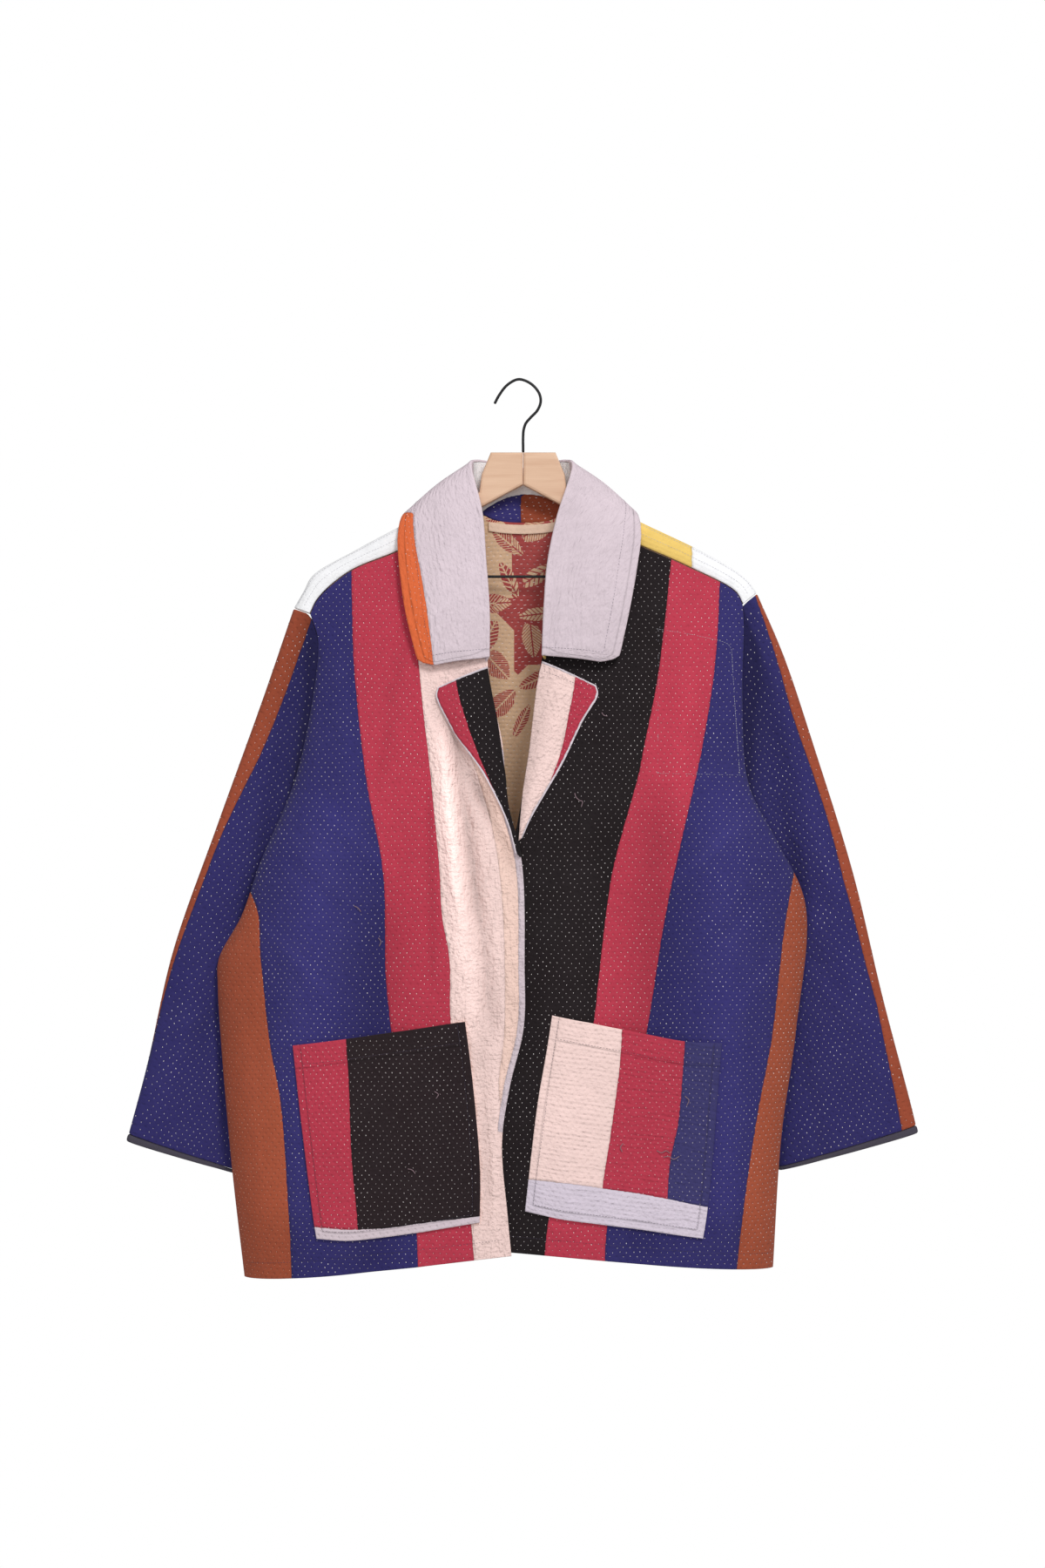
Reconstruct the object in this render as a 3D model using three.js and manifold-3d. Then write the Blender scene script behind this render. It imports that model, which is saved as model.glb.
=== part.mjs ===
// A quilted patchwork jacket hanging open on a wooden hanger, in millimetres.
// Origin: the crown of the wire hook, where it rests on its peg. +X is the wearer's left,
// the front of the jacket faces -Y, +Z is up.
import * as THREE from "three";
import { mergeVertices } from "three/addons/utils/BufferGeometryUtils.js";
import Module from "manifold-3d";

const wasm = await Module();
wasm.setup();

// Driving dimensions
const WALL = 2.6; // quilted cloth, four worn layers
const BINDING_WALL = 1.4; // one folded layer of plain cotton
const SEAM_GAP = 0.4; // between cloth pieces that are sewn together
const CUT_ROOM = 2.2; // extra wall by which a neighbour is trimmed, both faces together
const FRONT_SIDE = 0.85; // how far the middle of each wall stays off the side seam
const BACK_SIDE = 1.15;
const HALF_SHOULDER = 10; // cloth to either side of the hanger board
const FRONT_REACH = 52; // how far the wearer's right front stands forward at the hem
const UNDERLAP = 7; // the left front passes this far behind it
const BACK_REACH = 17; // how far the back stands behind the shoulder line
const REACH_LENGTH = 250; // drop over which the body opens out below the shoulders
const PANEL_DROP = 820; // from the shoulder seam to the hem
const ARMHOLE_SHARE = 0.09; // share of a side over which the armhole opens to full depth
const ROUNDING = 5; // how sharply a panel turns forward beside its side seam
const NECK_STAND = 7; // how far the back stands off behind the neck
const NECK_SPREAD = 40; // half width of that stand-off
const HEM_MIDDLE = [0.35, 0.3]; // where a front's hem curve turns, across and up
const SLEEVE_HALF = 15; // half the depth of a hanging sleeve
const SLEEVE_BEHIND = 32; // how far the underarm line hangs behind the side seam
const BOARD = 12; // hanger board thickness
const WIRE = 3; // hook and trouser bar
const POCKET_MOUTH = 3; // how far a pocket mouth stands off the front

// Outlines as [x, z], taken at the seams. Sides run from the hem up to the shoulder end.
const RIGHT_SIDE = [
  [-297, -968], [-310, -856], [-322, -722], [-326, -655], [-325, -626],
  [-299, -578], [-280, -524], [-242, -434], [-222, -342], [-217, -282], [-226, -253],
];
const LEFT_SIDE = [
  [274, -958], [283, -818], [299, -702], [309, -567], [278, -500],
  [247, -438], [240, -344], [242, -268], [241, -243],
];
const RIGHT_UNDERARM = 4; // index of the underarm in each side
const LEFT_UNDERARM = 3;
const RIGHT_EDGE = [
  [-8, -937], [-12, -895], [-18, -817], [-10, -759], [5, -695], [6, -631],
  [3, -520], [-12, -459], [-18, -392], [-30, -336], [-35, -288], [-38, -204], [-42, -144],
];
const LEFT_EDGE = [
  [-14, -934], [-22, -890], [-26, -808], [-24, -715], [-20, -622], [-12, -529],
  [0, -464], [10, -402], [19, -327], [26, -288], [32, -204], [47, -142],
];
// Shoulder seams, from the armhole to the neck: the front edge of the shoulder strip, and its ridge.
const RIGHT_SEAM = [[-226, -253], [-217, -236], [-183, -207], [-133, -186], [-42, -144]];
const RIGHT_RIDGE = [
  [-243, -247], [-232, -228], [-223, -212], [-174, -183], [-90, -138], [-47, -112],
];
const LEFT_SEAM = [[241, -243], [233, -229], [182, -202], [127, -178], [47, -142]];
const LEFT_RIDGE = [
  [256, -231], [246, -217], [232, -206], [195, -185], [128, -153], [99, -138], [54, -112],
];
const BACK_NECK = [[-42, -144], [-28, -149], [3, -151.5], [34, -149], [47, -142]];

// Sleeves: outer fold and underarm line, from the armhole to the cuff, as [x, z].
const RIGHT_SLEEVE_OUT = [
  [-243, -247], [-274, -337], [-327, -484], [-374, -618], [-402, -741], [-424, -823],
];
const RIGHT_SLEEVE_IN = [[-325, -626], [-306, -700], [-292, -790], [-283, -868]];
const LEFT_SLEEVE_OUT = [
  [256, -231], [286, -301], [320, -403], [360, -533], [392, -667], [422, -781], [430, -814],
];
const LEFT_SLEEVE_IN = [[309, -567], [289, -625], [277, -720], [279, -810], [285, -858]];

// Soft ridges (+) and troughs (-) in the cloth: from, to, half width and height.
const FRONT_FOLDS = [
  { from: [-88, -370], to: [-48, -700], width: 16, height: 4 },
  { from: [-60, -400], to: [-30, -690], width: 9, height: -3.5 },
  { from: [-205, -420], to: [-250, -900], width: 34, height: 5 },
  { from: [-150, -520], to: [-160, -960], width: 26, height: -4 },
  { from: [60, -470], to: [45, -900], width: 26, height: 5 },
  { from: [150, -420], to: [130, -930], width: 28, height: -4 },
  { from: [215, -400], to: [225, -900], width: 30, height: 5 },
];
const BACK_FOLDS = [
  { from: [-190, -300], to: [-230, -940], width: 36, height: 6 },
  { from: [-90, -330], to: [-100, -940], width: 30, height: -5 },
  { from: [20, -260], to: [10, -940], width: 38, height: 5 },
  { from: [120, -330], to: [130, -940], width: 30, height: -5 },
  { from: [195, -300], to: [215, -930], width: 34, height: 6 },
];

function smooth(edge0, edge1, x) {
  const t = Math.min(1, Math.max(0, (x - edge0) / (edge1 - edge0)));
  return t * t * (3 - 2 * t);
}

function mix(a, b, t) {
  return a + (b - a) * t;
}

// A smooth curve through [x, z] points at y = 0, walked by its length from 0 to 1.
function line(points) {
  const curve = new THREE.CatmullRomCurve3(
    points.map(([x, z]) => new THREE.Vector3(x, 0, z)), false, "centripetal",
  );
  curve.arcLengthDivisions = 400;
  return (t) => curve.getPointAt(Math.min(1, Math.max(0, t)));
}

// The part of a line's length that lies before one of its points.
function lengthTo(points, index) {
  const part = new THREE.CatmullRomCurve3(
    points.map(([x, z]) => new THREE.Vector3(x, 0, z)), false, "centripetal",
  );
  part.arcLengthDivisions = 40 * (points.length - 1);
  return part.getLengths()[40 * index] / part.getLength();
}

// Height of the folds at a point of a panel.
function relief(folds, x, z) {
  let sum = 0;
  for (const { from, to, width, height } of folds) {
    const dx = to[0] - from[0];
    const dz = to[1] - from[1];
    const length = Math.hypot(dx, dz);
    const along = ((x - from[0]) * dx + (z - from[1]) * dz) / length;
    const aside = ((x - from[0]) * dz - (z - from[1]) * dx) / length;
    const fade = smooth(0, 90, along) * smooth(0, 50, length + 30 - along);
    sum += height * fade * Math.exp(-((aside / width) ** 2));
  }
  return sum;
}

// A sheet between four edges that meet at the corners, blended as a Coons patch.
function coons(bottom, top, left, right) {
  const [a, b, c, d] = [bottom(0), bottom(1), top(0), top(1)];
  return (u, v) => {
    const p = bottom(u).multiplyScalar(1 - v).addScaledVector(top(u), v);
    p.addScaledVector(left(v), 1 - u).addScaledVector(right(v), u);
    p.addScaledVector(a, -(1 - u) * (1 - v)).addScaledVector(b, -u * (1 - v));
    return p.addScaledVector(c, -(1 - u) * v).addScaledVector(d, -u * v);
  };
}

// A front: flat outline from its seams, rounded forward from the side seam to the edge.
function frontSheet(side, underarm, edge, seam, reach) {
  const turn = [0, 1].map((k) => mix(side[0][k], edge[0][k], HEM_MIDDLE[k]));
  const outline = coons(line([side[0], turn, edge[0]]), line(seam), line(side), line(edge));
  const armpit = lengthTo(side, underarm);
  return (u, v) => {
    const p = outline(u, v);
    const drop = PANEL_DROP * (1 - v);
    const forward = HALF_SHOULDER + reach * (1 - Math.exp(-drop / REACH_LENGTH));
    const aside = mix(FRONT_SIDE, HALF_SHOULDER, smooth(armpit, armpit + ARMHOLE_SHARE, v));
    const round = (1 - (1 - u) ** ROUNDING) ** 0.6;
    p.y = -mix(aside, forward, round) - relief(FRONT_FOLDS, p.x, p.z) * Math.min(1, 4 * u);
    return p;
  };
}

// The back: one panel between the two side lines, with the neck cut out of its top.
function backSheet() {
  const top = line([
    ...RIGHT_SEAM.slice(0, -1), ...BACK_NECK, ...LEFT_SEAM.slice(0, -1).reverse(),
  ]);
  const outline = coons(
    line([RIGHT_SIDE[0], [-12, -948], LEFT_SIDE[0]]), top, line(RIGHT_SIDE), line(LEFT_SIDE),
  );
  const armpits = [lengthTo(RIGHT_SIDE, RIGHT_UNDERARM), lengthTo(LEFT_SIDE, LEFT_UNDERARM)];
  return (u, v) => {
    const p = outline(u, v);
    const armpit = mix(armpits[0], armpits[1], u);
    const drop = PANEL_DROP * (1 - v);
    const neck = NECK_STAND * Math.exp(-(((p.x - 3) / NECK_SPREAD) ** 2)) * smooth(0.7, 1, v);
    const behind = HALF_SHOULDER + neck + BACK_REACH * (1 - Math.exp(-drop / REACH_LENGTH));
    const aside = mix(BACK_SIDE, HALF_SHOULDER, smooth(armpit, armpit + ARMHOLE_SHARE, v));
    const inward = 2 * Math.min(u, 1 - u);
    const round = (1 - (1 - inward) ** ROUNDING) ** 0.6;
    p.y = mix(aside, behind, round) + relief(BACK_FOLDS, p.x, p.z) * Math.min(1, 4 * inward);
    return p;
  };
}

// A shoulder strip: an arch over the hanger board from the front seam to the back seam.
function stripSheet(seam, ridge) {
  const low = line(seam);
  const high = line(ridge);
  return (u, v) => {
    const p = low(u).lerp(high(u), Math.sin(Math.PI * v) ** 0.55);
    p.y = -HALF_SHOULDER * Math.cos(Math.PI * v);
    return p;
  };
}

// A sleeve: rings from the armhole to the cuff. Angle 0 is the outer fold, 0.5 the underarm,
// the first half of each ring is the front. The first ring follows the armhole seam.
function sleeveSheet(outer, inner, side, underarm, strip) {
  const out = line(outer);
  const under = line(inner);
  const seam = line(side);
  const armpit = lengthTo(side, underarm);
  const head = 0.09; // share of the half ring that meets the shoulder strip
  function armhole(angle) {
    const half = angle < 0.5 ? 2 * angle : 2 - 2 * angle;
    const facing = angle < 0.5 ? -1 : 1;
    if (half < head) return strip(0, 0.5 + (facing * 0.5 * half) / head);
    const down = (half - head) / (1 - head);
    const at = mix(1, armpit, down);
    const p = seam(at);
    p.y = facing * HALF_SHOULDER * smooth(armpit, armpit + ARMHOLE_SHARE, at);
    return p;
  }
  function ring(s, angle) {
    const a = out(s);
    const b = under(s);
    const middle = a.clone().lerp(b, 0.5);
    const turn = 2 * Math.PI * angle;
    const p = middle.addScaledVector(a.sub(b), 0.5 * Math.cos(turn));
    const depth = mix(HALF_SHOULDER, SLEEVE_HALF, smooth(0, 0.4, s));
    const bulge = Math.sign(Math.sin(turn)) * Math.abs(Math.sin(turn)) ** 0.75;
    const inwards = 0.5 - 0.5 * Math.cos(turn);
    p.y = -depth * bulge + mix(3, SLEEVE_BEHIND, inwards) * smooth(0, 0.25, s);
    return p;
  }
  return (angle, s) => {
    const p = ring(s, angle);
    const pull = armhole(angle).sub(ring(0, angle));
    const fade = 1 - smooth(0, 0.45, s);
    return p.addScaledVector(pull, fade);
  };
}

// Collar stations from the wearer's right front end round the neck to the left front end:
// neck seam, roll line and outer edge, each [x, y, z].
const COLLAR = [
  [[-37, -31, -309], [-33, -43, -301], [-107, -42, -313]],
  [[-39, -24, -250], [-33, -39, -250], [-122, -35, -253]],
  [[-42, -17, -196], [-37, -31, -194], [-129, -26, -205]],
  [[-43, -11, -148], [-41, -21, -144], [-131, -17, -168]],
  [[-51, 0, -107], [-53, -3, -91], [-126, -1, -146]],
  [[-45, 12, -137], [-47, 14, -85], [-112, 19, -142]],
  [[-27, 15, -149.5], [-28, 26, -86], [-76, 36, -168]],
  [[3, 17, -152], [3, 30, -92], [3, 40, -184]],
  [[34, 15, -149.5], [34, 26, -86], [82, 36, -168]],
  [[49, 12, -135], [50, 14, -85], [112, 19, -140]],
  [[59, 0, -107], [58, -3, -91], [127, -1, -144]],
  [[47, -11, -146], [41, -21, -150], [131, -17, -166]],
  [[37, -16, -197], [31, -31, -199], [127, -26, -200]],
  [[31, -22, -250], [27, -39, -250], [118, -35, -250]],
  [[28, -29, -305], [25, -43, -299], [105, -42, -309]],
];
const FOLD = 5; // half the width of the fold along the roll line
const FALL_BULGE = 3.5; // how far the fall stands off a straight line to its edge
const NECK_CENTRE = [3, 4];

// The collar: each section runs from the neck seam up the stand, over the roll and down the fall.
function collarSheet() {
  const [necks, rolls, outers] = [0, 1, 2].map((k) => new THREE.CatmullRomCurve3(
    COLLAR.map((station) => new THREE.Vector3(...station[k])), false, "centripetal",
  ));
  return (u, v) => {
    const [neck, roll, outer] = [necks, rolls, outers].map((curve) => curve.getPoint(u));
    const away = new THREE.Vector3(roll.x - NECK_CENTRE[0], roll.y - NECK_CENTRE[1], 0).normalize();
    const before = roll.clone().add(neck.clone().sub(roll).setLength(FOLD));
    const after = roll.clone().add(outer.clone().sub(roll).setLength(FOLD));
    const middle = roll.clone().lerp(outer, 0.45).addScaledVector(away, FALL_BULGE);
    middle.z += FALL_BULGE / 4;
    const points = [neck, before, roll, after, middle, outer];
    return new THREE.CatmullRomCurve3(points, false, "centripetal").getPoint(v);
  };
}

// Where a point [x, z] lies on a panel, found by small steps, and the point moved out from it.
function layOn(sheet, x, z, lift) {
  let [u, v] = [0.6, 0.5];
  const step = 1e-3;
  for (let round = 0; round < 30; round++) {
    const p = sheet(u, v);
    const pu = sheet(u + step, v).sub(p).multiplyScalar(1 / step);
    const pv = sheet(u, v + step).sub(p).multiplyScalar(1 / step);
    const det = pu.x * pv.z - pv.x * pu.z;
    const [ex, ez] = [x - p.x, z - p.z];
    u = Math.min(0.998, Math.max(0.02, u + (ex * pv.z - ez * pv.x) / det));
    v = Math.min(0.998, Math.max(0, v + (pu.x * ez - pu.z * ex) / det));
  }
  const p = sheet(u, v);
  const pu = sheet(u + step, v).sub(p);
  const pv = sheet(u, v + step).sub(p);
  const out = pu.cross(pv).normalize();
  return p.addScaledVector(out, out.y < 0 ? lift : -lift);
}

// A piece that lies on a front: its own outline, with each point laid on the panel.
function laidSheet(panel, bottom, top, left, right, lift) {
  const outline = coons(line(bottom), line(top), line(left), line(right));
  return (u, v) => {
    const p = outline(u, v);
    return layOn(panel, p.x, p.z, lift(u, v));
  };
}

// A closed cloth wall round a sheet, on a grid of columns and rows. A tube closes on itself.
// inset draws its four edges in by shares of its width and height, to leave room at the seams.
function wall(sheet, columns, rows, options = {}) {
  const { thickness = WALL, tube = false, spread = (t) => t, inset = [0, 0, 0, 0] } = options;
  const [left, right, low, high] = inset;
  const across = tube ? columns : columns + 1;
  const grid = [];
  for (let j = 0; j <= rows; j++) {
    const row = [];
    const v = tube ? mix(low, 1 - high, j / rows) : Math.min(1 - high, Math.max(low, j / rows));
    for (let i = 0; i < across; i++) {
      const u = tube ? i / columns : Math.min(1 - right, Math.max(left, spread(i / columns)));
      row.push(sheet(u, v));
    }
    grid.push(row);
  }
  const at = (i, j) => grid[Math.min(rows, Math.max(0, j))][
    tube ? (i + across) % across : Math.min(across - 1, Math.max(0, i))
  ];
  const position = [];
  for (const facing of [1, -1]) {
    for (let j = 0; j <= rows; j++) {
      for (let i = 0; i < across; i++) {
        const along = at(i + 1, j).clone().sub(at(i - 1, j));
        const up = at(i, j + 1).clone().sub(at(i, j - 1));
        const out = along.cross(up).normalize();
        position.push(at(i, j).clone().addScaledVector(out, (facing * thickness) / 2));
      }
    }
  }
  const layer = across * (rows + 1);
  const faces = [];
  const quad = (a, b, c, d) => faces.push(a, b, c, a, c, d);
  const id = (i, j, k) => k * layer + j * across + (i % across);
  for (let j = 0; j < rows; j++) {
    for (let i = 0; i < columns; i++) {
      quad(id(i, j, 0), id(i + 1, j, 0), id(i + 1, j + 1, 0), id(i, j + 1, 0));
      quad(id(i, j, 1), id(i, j + 1, 1), id(i + 1, j + 1, 1), id(i + 1, j, 1));
    }
    if (!tube) {
      quad(id(0, j, 0), id(0, j + 1, 0), id(0, j + 1, 1), id(0, j, 1));
      quad(id(columns, j, 0), id(columns, j, 1), id(columns, j + 1, 1), id(columns, j + 1, 0));
    }
  }
  for (let i = 0; i < columns; i++) {
    quad(id(i, 0, 0), id(i, 0, 1), id(i + 1, 0, 1), id(i + 1, 0, 0));
    quad(id(i, rows, 0), id(i + 1, rows, 0), id(i + 1, rows, 1), id(i, rows, 1));
  }
  const geometry = new THREE.BufferGeometry();
  geometry.setFromPoints(position);
  geometry.setIndex(faces);
  return outwards(geometry);
}

// The same geometry with its faces turned out, should its walk have gone the other way.
function outwards(geometry) {
  const p = geometry.attributes.position;
  const index = geometry.index.array;
  let volume = 0;
  const [a, b, c] = [new THREE.Vector3(), new THREE.Vector3(), new THREE.Vector3()];
  for (let i = 0; i < index.length; i += 3) {
    a.fromBufferAttribute(p, index[i]);
    b.fromBufferAttribute(p, index[i + 1]);
    c.fromBufferAttribute(p, index[i + 2]);
    volume += a.dot(b.cross(c));
  }
  if (volume < 0) {
    for (let i = 0; i < index.length; i += 3) {
      [index[i + 1], index[i + 2]] = [index[i + 2], index[i + 1]];
    }
  }
  geometry.computeVertexNormals();
  return geometry;
}

// A geometry as a solid that can be cut, and back.
function solid(geometry) {
  const bare = new THREE.BufferGeometry();
  bare.setAttribute("position", geometry.getAttribute("position"));
  bare.setIndex(geometry.index);
  const merged = mergeVertices(bare, 1e-4);
  return new wasm.Manifold(new wasm.Mesh({
    numProp: 3,
    vertProperties: merged.attributes.position.array,
    triVerts: new Uint32Array(merged.index.array),
  }));
}

// A piece trimmed back from its neighbours, each given a little thicker than it is.
function trimmed(geometry, neighbours) {
  let piece = solid(geometry);
  for (const neighbour of neighbours) piece = piece.subtract(solid(neighbour));
  const kept = piece.decompose().sort((a, b) => b.volume() - a.volume())[0];
  const mesh = kept.simplify(0.02).getMesh();
  const result = new THREE.BufferGeometry();
  result.setAttribute("position", new THREE.BufferAttribute(mesh.vertProperties, 3));
  result.setIndex(new THREE.BufferAttribute(mesh.triVerts, 1));
  result.computeVertexNormals();
  return result;
}

const jacket = new THREE.Group();

function add(name, geometry, color, roughness = 0.9, metalness = 0) {
  const material = new THREE.MeshStandardMaterial({ color, roughness, metalness });
  const mesh = new THREE.Mesh(geometry, material);
  mesh.name = name;
  jacket.add(mesh);
}

// Fronts, back and shoulder strips
const toSide = (t) => t ** 1.5;
const bothSides = (t) => (t < 0.5 ? 2 ** 0.5 * t ** 1.5 : 1 - 2 ** 0.5 * (1 - t) ** 1.5);
const frontRight = frontSheet(RIGHT_SIDE, RIGHT_UNDERARM, RIGHT_EDGE, RIGHT_SEAM, FRONT_REACH);
const frontLeft = frontSheet(LEFT_SIDE, LEFT_UNDERARM, LEFT_EDGE, LEFT_SEAM, FRONT_REACH - UNDERLAP);
const back = backSheet();
const stripRight = stripSheet(RIGHT_SEAM, RIGHT_RIDGE);
const stripLeft = stripSheet(LEFT_SEAM, LEFT_RIDGE);
const FRONT_INSET = [0.002, 0.0012, 0, 0.0007];
const BACK_INSET = [0.0014, 0.0014, 0, 0.0007];
const STRIP_INSET = [0.003, 0.003, 0.0005, 0.0005];
const body = {
  front_right: (inset, thickness) => wall(frontRight, 15, 20, { spread: toSide, inset, thickness }),
  front_left: (inset, thickness) => wall(frontLeft, 15, 20, { spread: toSide, inset, thickness }),
  back: (inset, thickness) => wall(back, 24, 16, { spread: bothSides, inset, thickness }),
  shoulder_strip_right: (inset, thickness) => wall(stripRight, 10, 8, { inset, thickness }),
  shoulder_strip_left: (inset, thickness) => wall(stripLeft, 10, 8, { inset, thickness }),
};
const insets = {
  front_right: FRONT_INSET, front_left: FRONT_INSET, back: BACK_INSET,
  shoulder_strip_right: STRIP_INSET, shoulder_strip_left: STRIP_INSET,
};
const bodyColors = {
  front_right: 0xbe3a54, front_left: 0x221a1c, back: 0x333770,
  shoulder_strip_right: 0xf4f4f2, shoulder_strip_left: 0xe4e8e8,
};
const grown = Object.fromEntries(
  Object.entries(body).map(([name, make]) => [name, make([0, 0, 0, 0], WALL + CUT_ROOM)]),
);
for (const [name, make] of Object.entries(body)) {
  const piece = make(insets[name], WALL);
  const panels = [grown.back, grown.front_right, grown.front_left];
  add(name, name.startsWith("shoulder") ? trimmed(piece, panels) : piece, bodyColors[name]);
}
const neighbours = Object.values(grown);
const laidOn = ["front_right", "front_left", "back"].map(
  (name) => body[name](insets[name], WALL + 2 * SEAM_GAP),
);

// Sleeves and the bindings of their cuffs
const CUFF = 0.013; // share of a sleeve's length under the binding
const sleeves = {
  right: sleeveSheet(RIGHT_SLEEVE_OUT, RIGHT_SLEEVE_IN, RIGHT_SIDE, RIGHT_UNDERARM, stripRight),
  left: sleeveSheet(LEFT_SLEEVE_OUT, LEFT_SLEEVE_IN, LEFT_SIDE, LEFT_UNDERARM, stripLeft),
};
for (const [side, sheet] of Object.entries(sleeves)) {
  const cloth = wall(sheet, 22, 15, { tube: true, inset: [0, 0, 0.0008, CUFF + 0.001] });
  add("sleeve_" + side, trimmed(cloth, neighbours), 0x2b2676);
  const binding = { tube: true, inset: [0, 0, 1 - CUFF, 0], thickness: WALL + BINDING_WALL };
  add("cuff_binding_" + side, wall(sheet, 22, 1, binding), 0x424452);
}

// Collar, and the tape over its seam inside the back of the neck
add("collar", trimmed(wall(collarSheet(), 34, 10), neighbours), 0xdbd0d8);
const TAPE_LIFT = WALL / 2 + 2 * SEAM_GAP + BINDING_WALL / 2;
const TAPE_DROP = 10;
const tapeTop = [[-34, -151.5], [-20, -153.5], [3, -154.5], [27, -153.5], [41, -151.5]];
const tapeLow = tapeTop.map(([x, z]) => [x, z - TAPE_DROP]);
const tape = laidSheet(
  back, tapeLow, tapeTop, [tapeLow[0], tapeTop[0]], [tapeLow[4], tapeTop[4]], () => TAPE_LIFT,
);
add("neck_tape", trimmed(wall(tape, 12, 1, { thickness: BINDING_WALL }), laidOn), 0xdfbfac);

// Lapels: the upper corners of the fronts, turned out at the roll line
const LAID = WALL + 2 * SEAM_GAP;
const LAPEL_LIFT = 5;
const lapelLift = (u, v) => LAID + LAPEL_LIFT * Math.sin(Math.PI * Math.min(1, 1.2 * (1 - u))) * v;
const lapels = {
  right: laidSheet(
    frontRight,
    [[-3, -510], [2, -514]],
    [[-87, -333], [-34, -311]],
    [[-3, -510], [-14, -475], [-38, -426], [-73, -373], [-89, -342], [-87, -333]],
    [[2, -514], [-3, -487], [-14, -431], [-24, -364], [-34, -311]],
    lapelLift,
  ),
  left: laidSheet(
    frontLeft,
    [[3, -494], [-1, -497]],
    [[82, -331], [24, -305]],
    [[3, -494], [12, -474], [28, -446], [46, -415], [68, -369], [84, -341], [82, -331]],
    [[-1, -497], [3, -450], [10, -402], [19, -327], [24, -305]],
    lapelLift,
  ),
};
for (const [side, sheet] of Object.entries(lapels)) {
  add("lapel_" + side, trimmed(wall(sheet, 6, 10), laidOn), side === "right" ? 0x2a2022 : 0xf0cfc8);
}

// Patch pockets, sewn on round three sides, their mouths standing off a little
const pocketLift = (u, v) => LAID + POCKET_MOUTH * Math.sin(Math.PI * u) * v ** 2;
const pockets = {
  right: laidSheet(
    frontRight,
    [[-215, -919], [-178, -921], [-109, -912], [-42, -901]],
    [[-240, -714], [-149, -702], [-57, -688]],
    [[-215, -919], [-218, -902], [-230, -807], [-240, -714]],
    [[-42, -901], [-42, -848], [-47, -778], [-57, -688]],
    pocketLift,
  ),
  left: laidSheet(
    frontLeft,
    [[6, -890], [52, -899], [119, -909], [195, -920]],
    [[35, -682], [108, -697], [177, -710], [215, -712]],
    [[6, -890], [13, -831], [22, -763], [35, -682]],
    [[195, -920], [200, -889], [215, -712]],
    pocketLift,
  ),
};
for (const [side, sheet] of Object.entries(pockets)) {
  add("pocket_" + side, trimmed(wall(sheet, 8, 7), laidOn), side === "right" ? 0x2e2426 : 0xe9b9b4);
}

// Hanger: two mitred boards, a wire hook and a trouser bar
const MITRE = 4; // x of the mitre
const HOOK_FOOT = -78;
const ARM = [
  [0.2, HOOK_FOOT], [35, HOOK_FOOT], [45, -102], [47.5, -121], [94, -142.5], [124, -159.5],
  [178, -187], [208, -204], [216, -211], [217, -219], [212, -226], [204, -226],
  [45, -137], [0.2, -113],
];
const ARM_ROUND = 2.5;

function armShape(facing) {
  const shape = new THREE.Shape(ARM.map(([x, z]) => new THREE.Vector2(MITRE + facing * x, z)));
  const geometry = new THREE.ExtrudeGeometry(shape, {
    depth: BOARD - 2 * ARM_ROUND, steps: 1, curveSegments: 6,
    bevelEnabled: true, bevelThickness: ARM_ROUND, bevelSize: ARM_ROUND, bevelOffset: -ARM_ROUND,
    bevelSegments: 2,
  });
  geometry.translate(0, 0, -BOARD / 2 + ARM_ROUND);
  geometry.rotateX(Math.PI / 2);
  return outwards(closed(geometry));
}

// The geometry with its shared corners merged.
function closed(geometry) {
  const bare = new THREE.BufferGeometry();
  const loose = geometry.index ? geometry.toNonIndexed() : geometry;
  bare.setAttribute("position", loose.getAttribute("position"));
  return mergeVertices(bare, 1e-3);
}

function round(radius) {
  return new THREE.Shape().absarc(0, 0, radius, 0, 2 * Math.PI);
}

add("hanger_arm_right", armShape(-1), 0xd6b296, 0.55);
add("hanger_arm_left", armShape(1), 0xd6b296, 0.55);

const hookPath = new THREE.CatmullRomCurve3([
  [-27, -25], [-21.5, -15], [-13, -4.5], [-1, 1.5], [12, -3], [21, -13], [23, -22.5],
  [19.5, -32], [12.5, -39.5], [7, -46], [4.6, -53], [MITRE, -60], [MITRE, HOOK_FOOT + 0.3],
].map(([x, z]) => new THREE.Vector3(x, 0, z)));
const hook = new THREE.ExtrudeGeometry(round(WIRE / 2), {
  extrudePath: hookPath, steps: 44, curveSegments: 5, bevelEnabled: false,
});
add("hook", outwards(closed(hook)), 0x2d2e30, 0.4, 0.8);

const BAR_Z = -212;
const BAR_HALF = 176;
const bar = new THREE.CylinderGeometry(WIRE / 2, WIRE / 2, 2 * BAR_HALF, 12);
bar.rotateZ(Math.PI / 2);
bar.translate(MITRE, 0, BAR_Z);
add("trouser_bar", outwards(closed(bar)), 0x2d2e30, 0.4, 0.8);

export default jacket;
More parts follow.
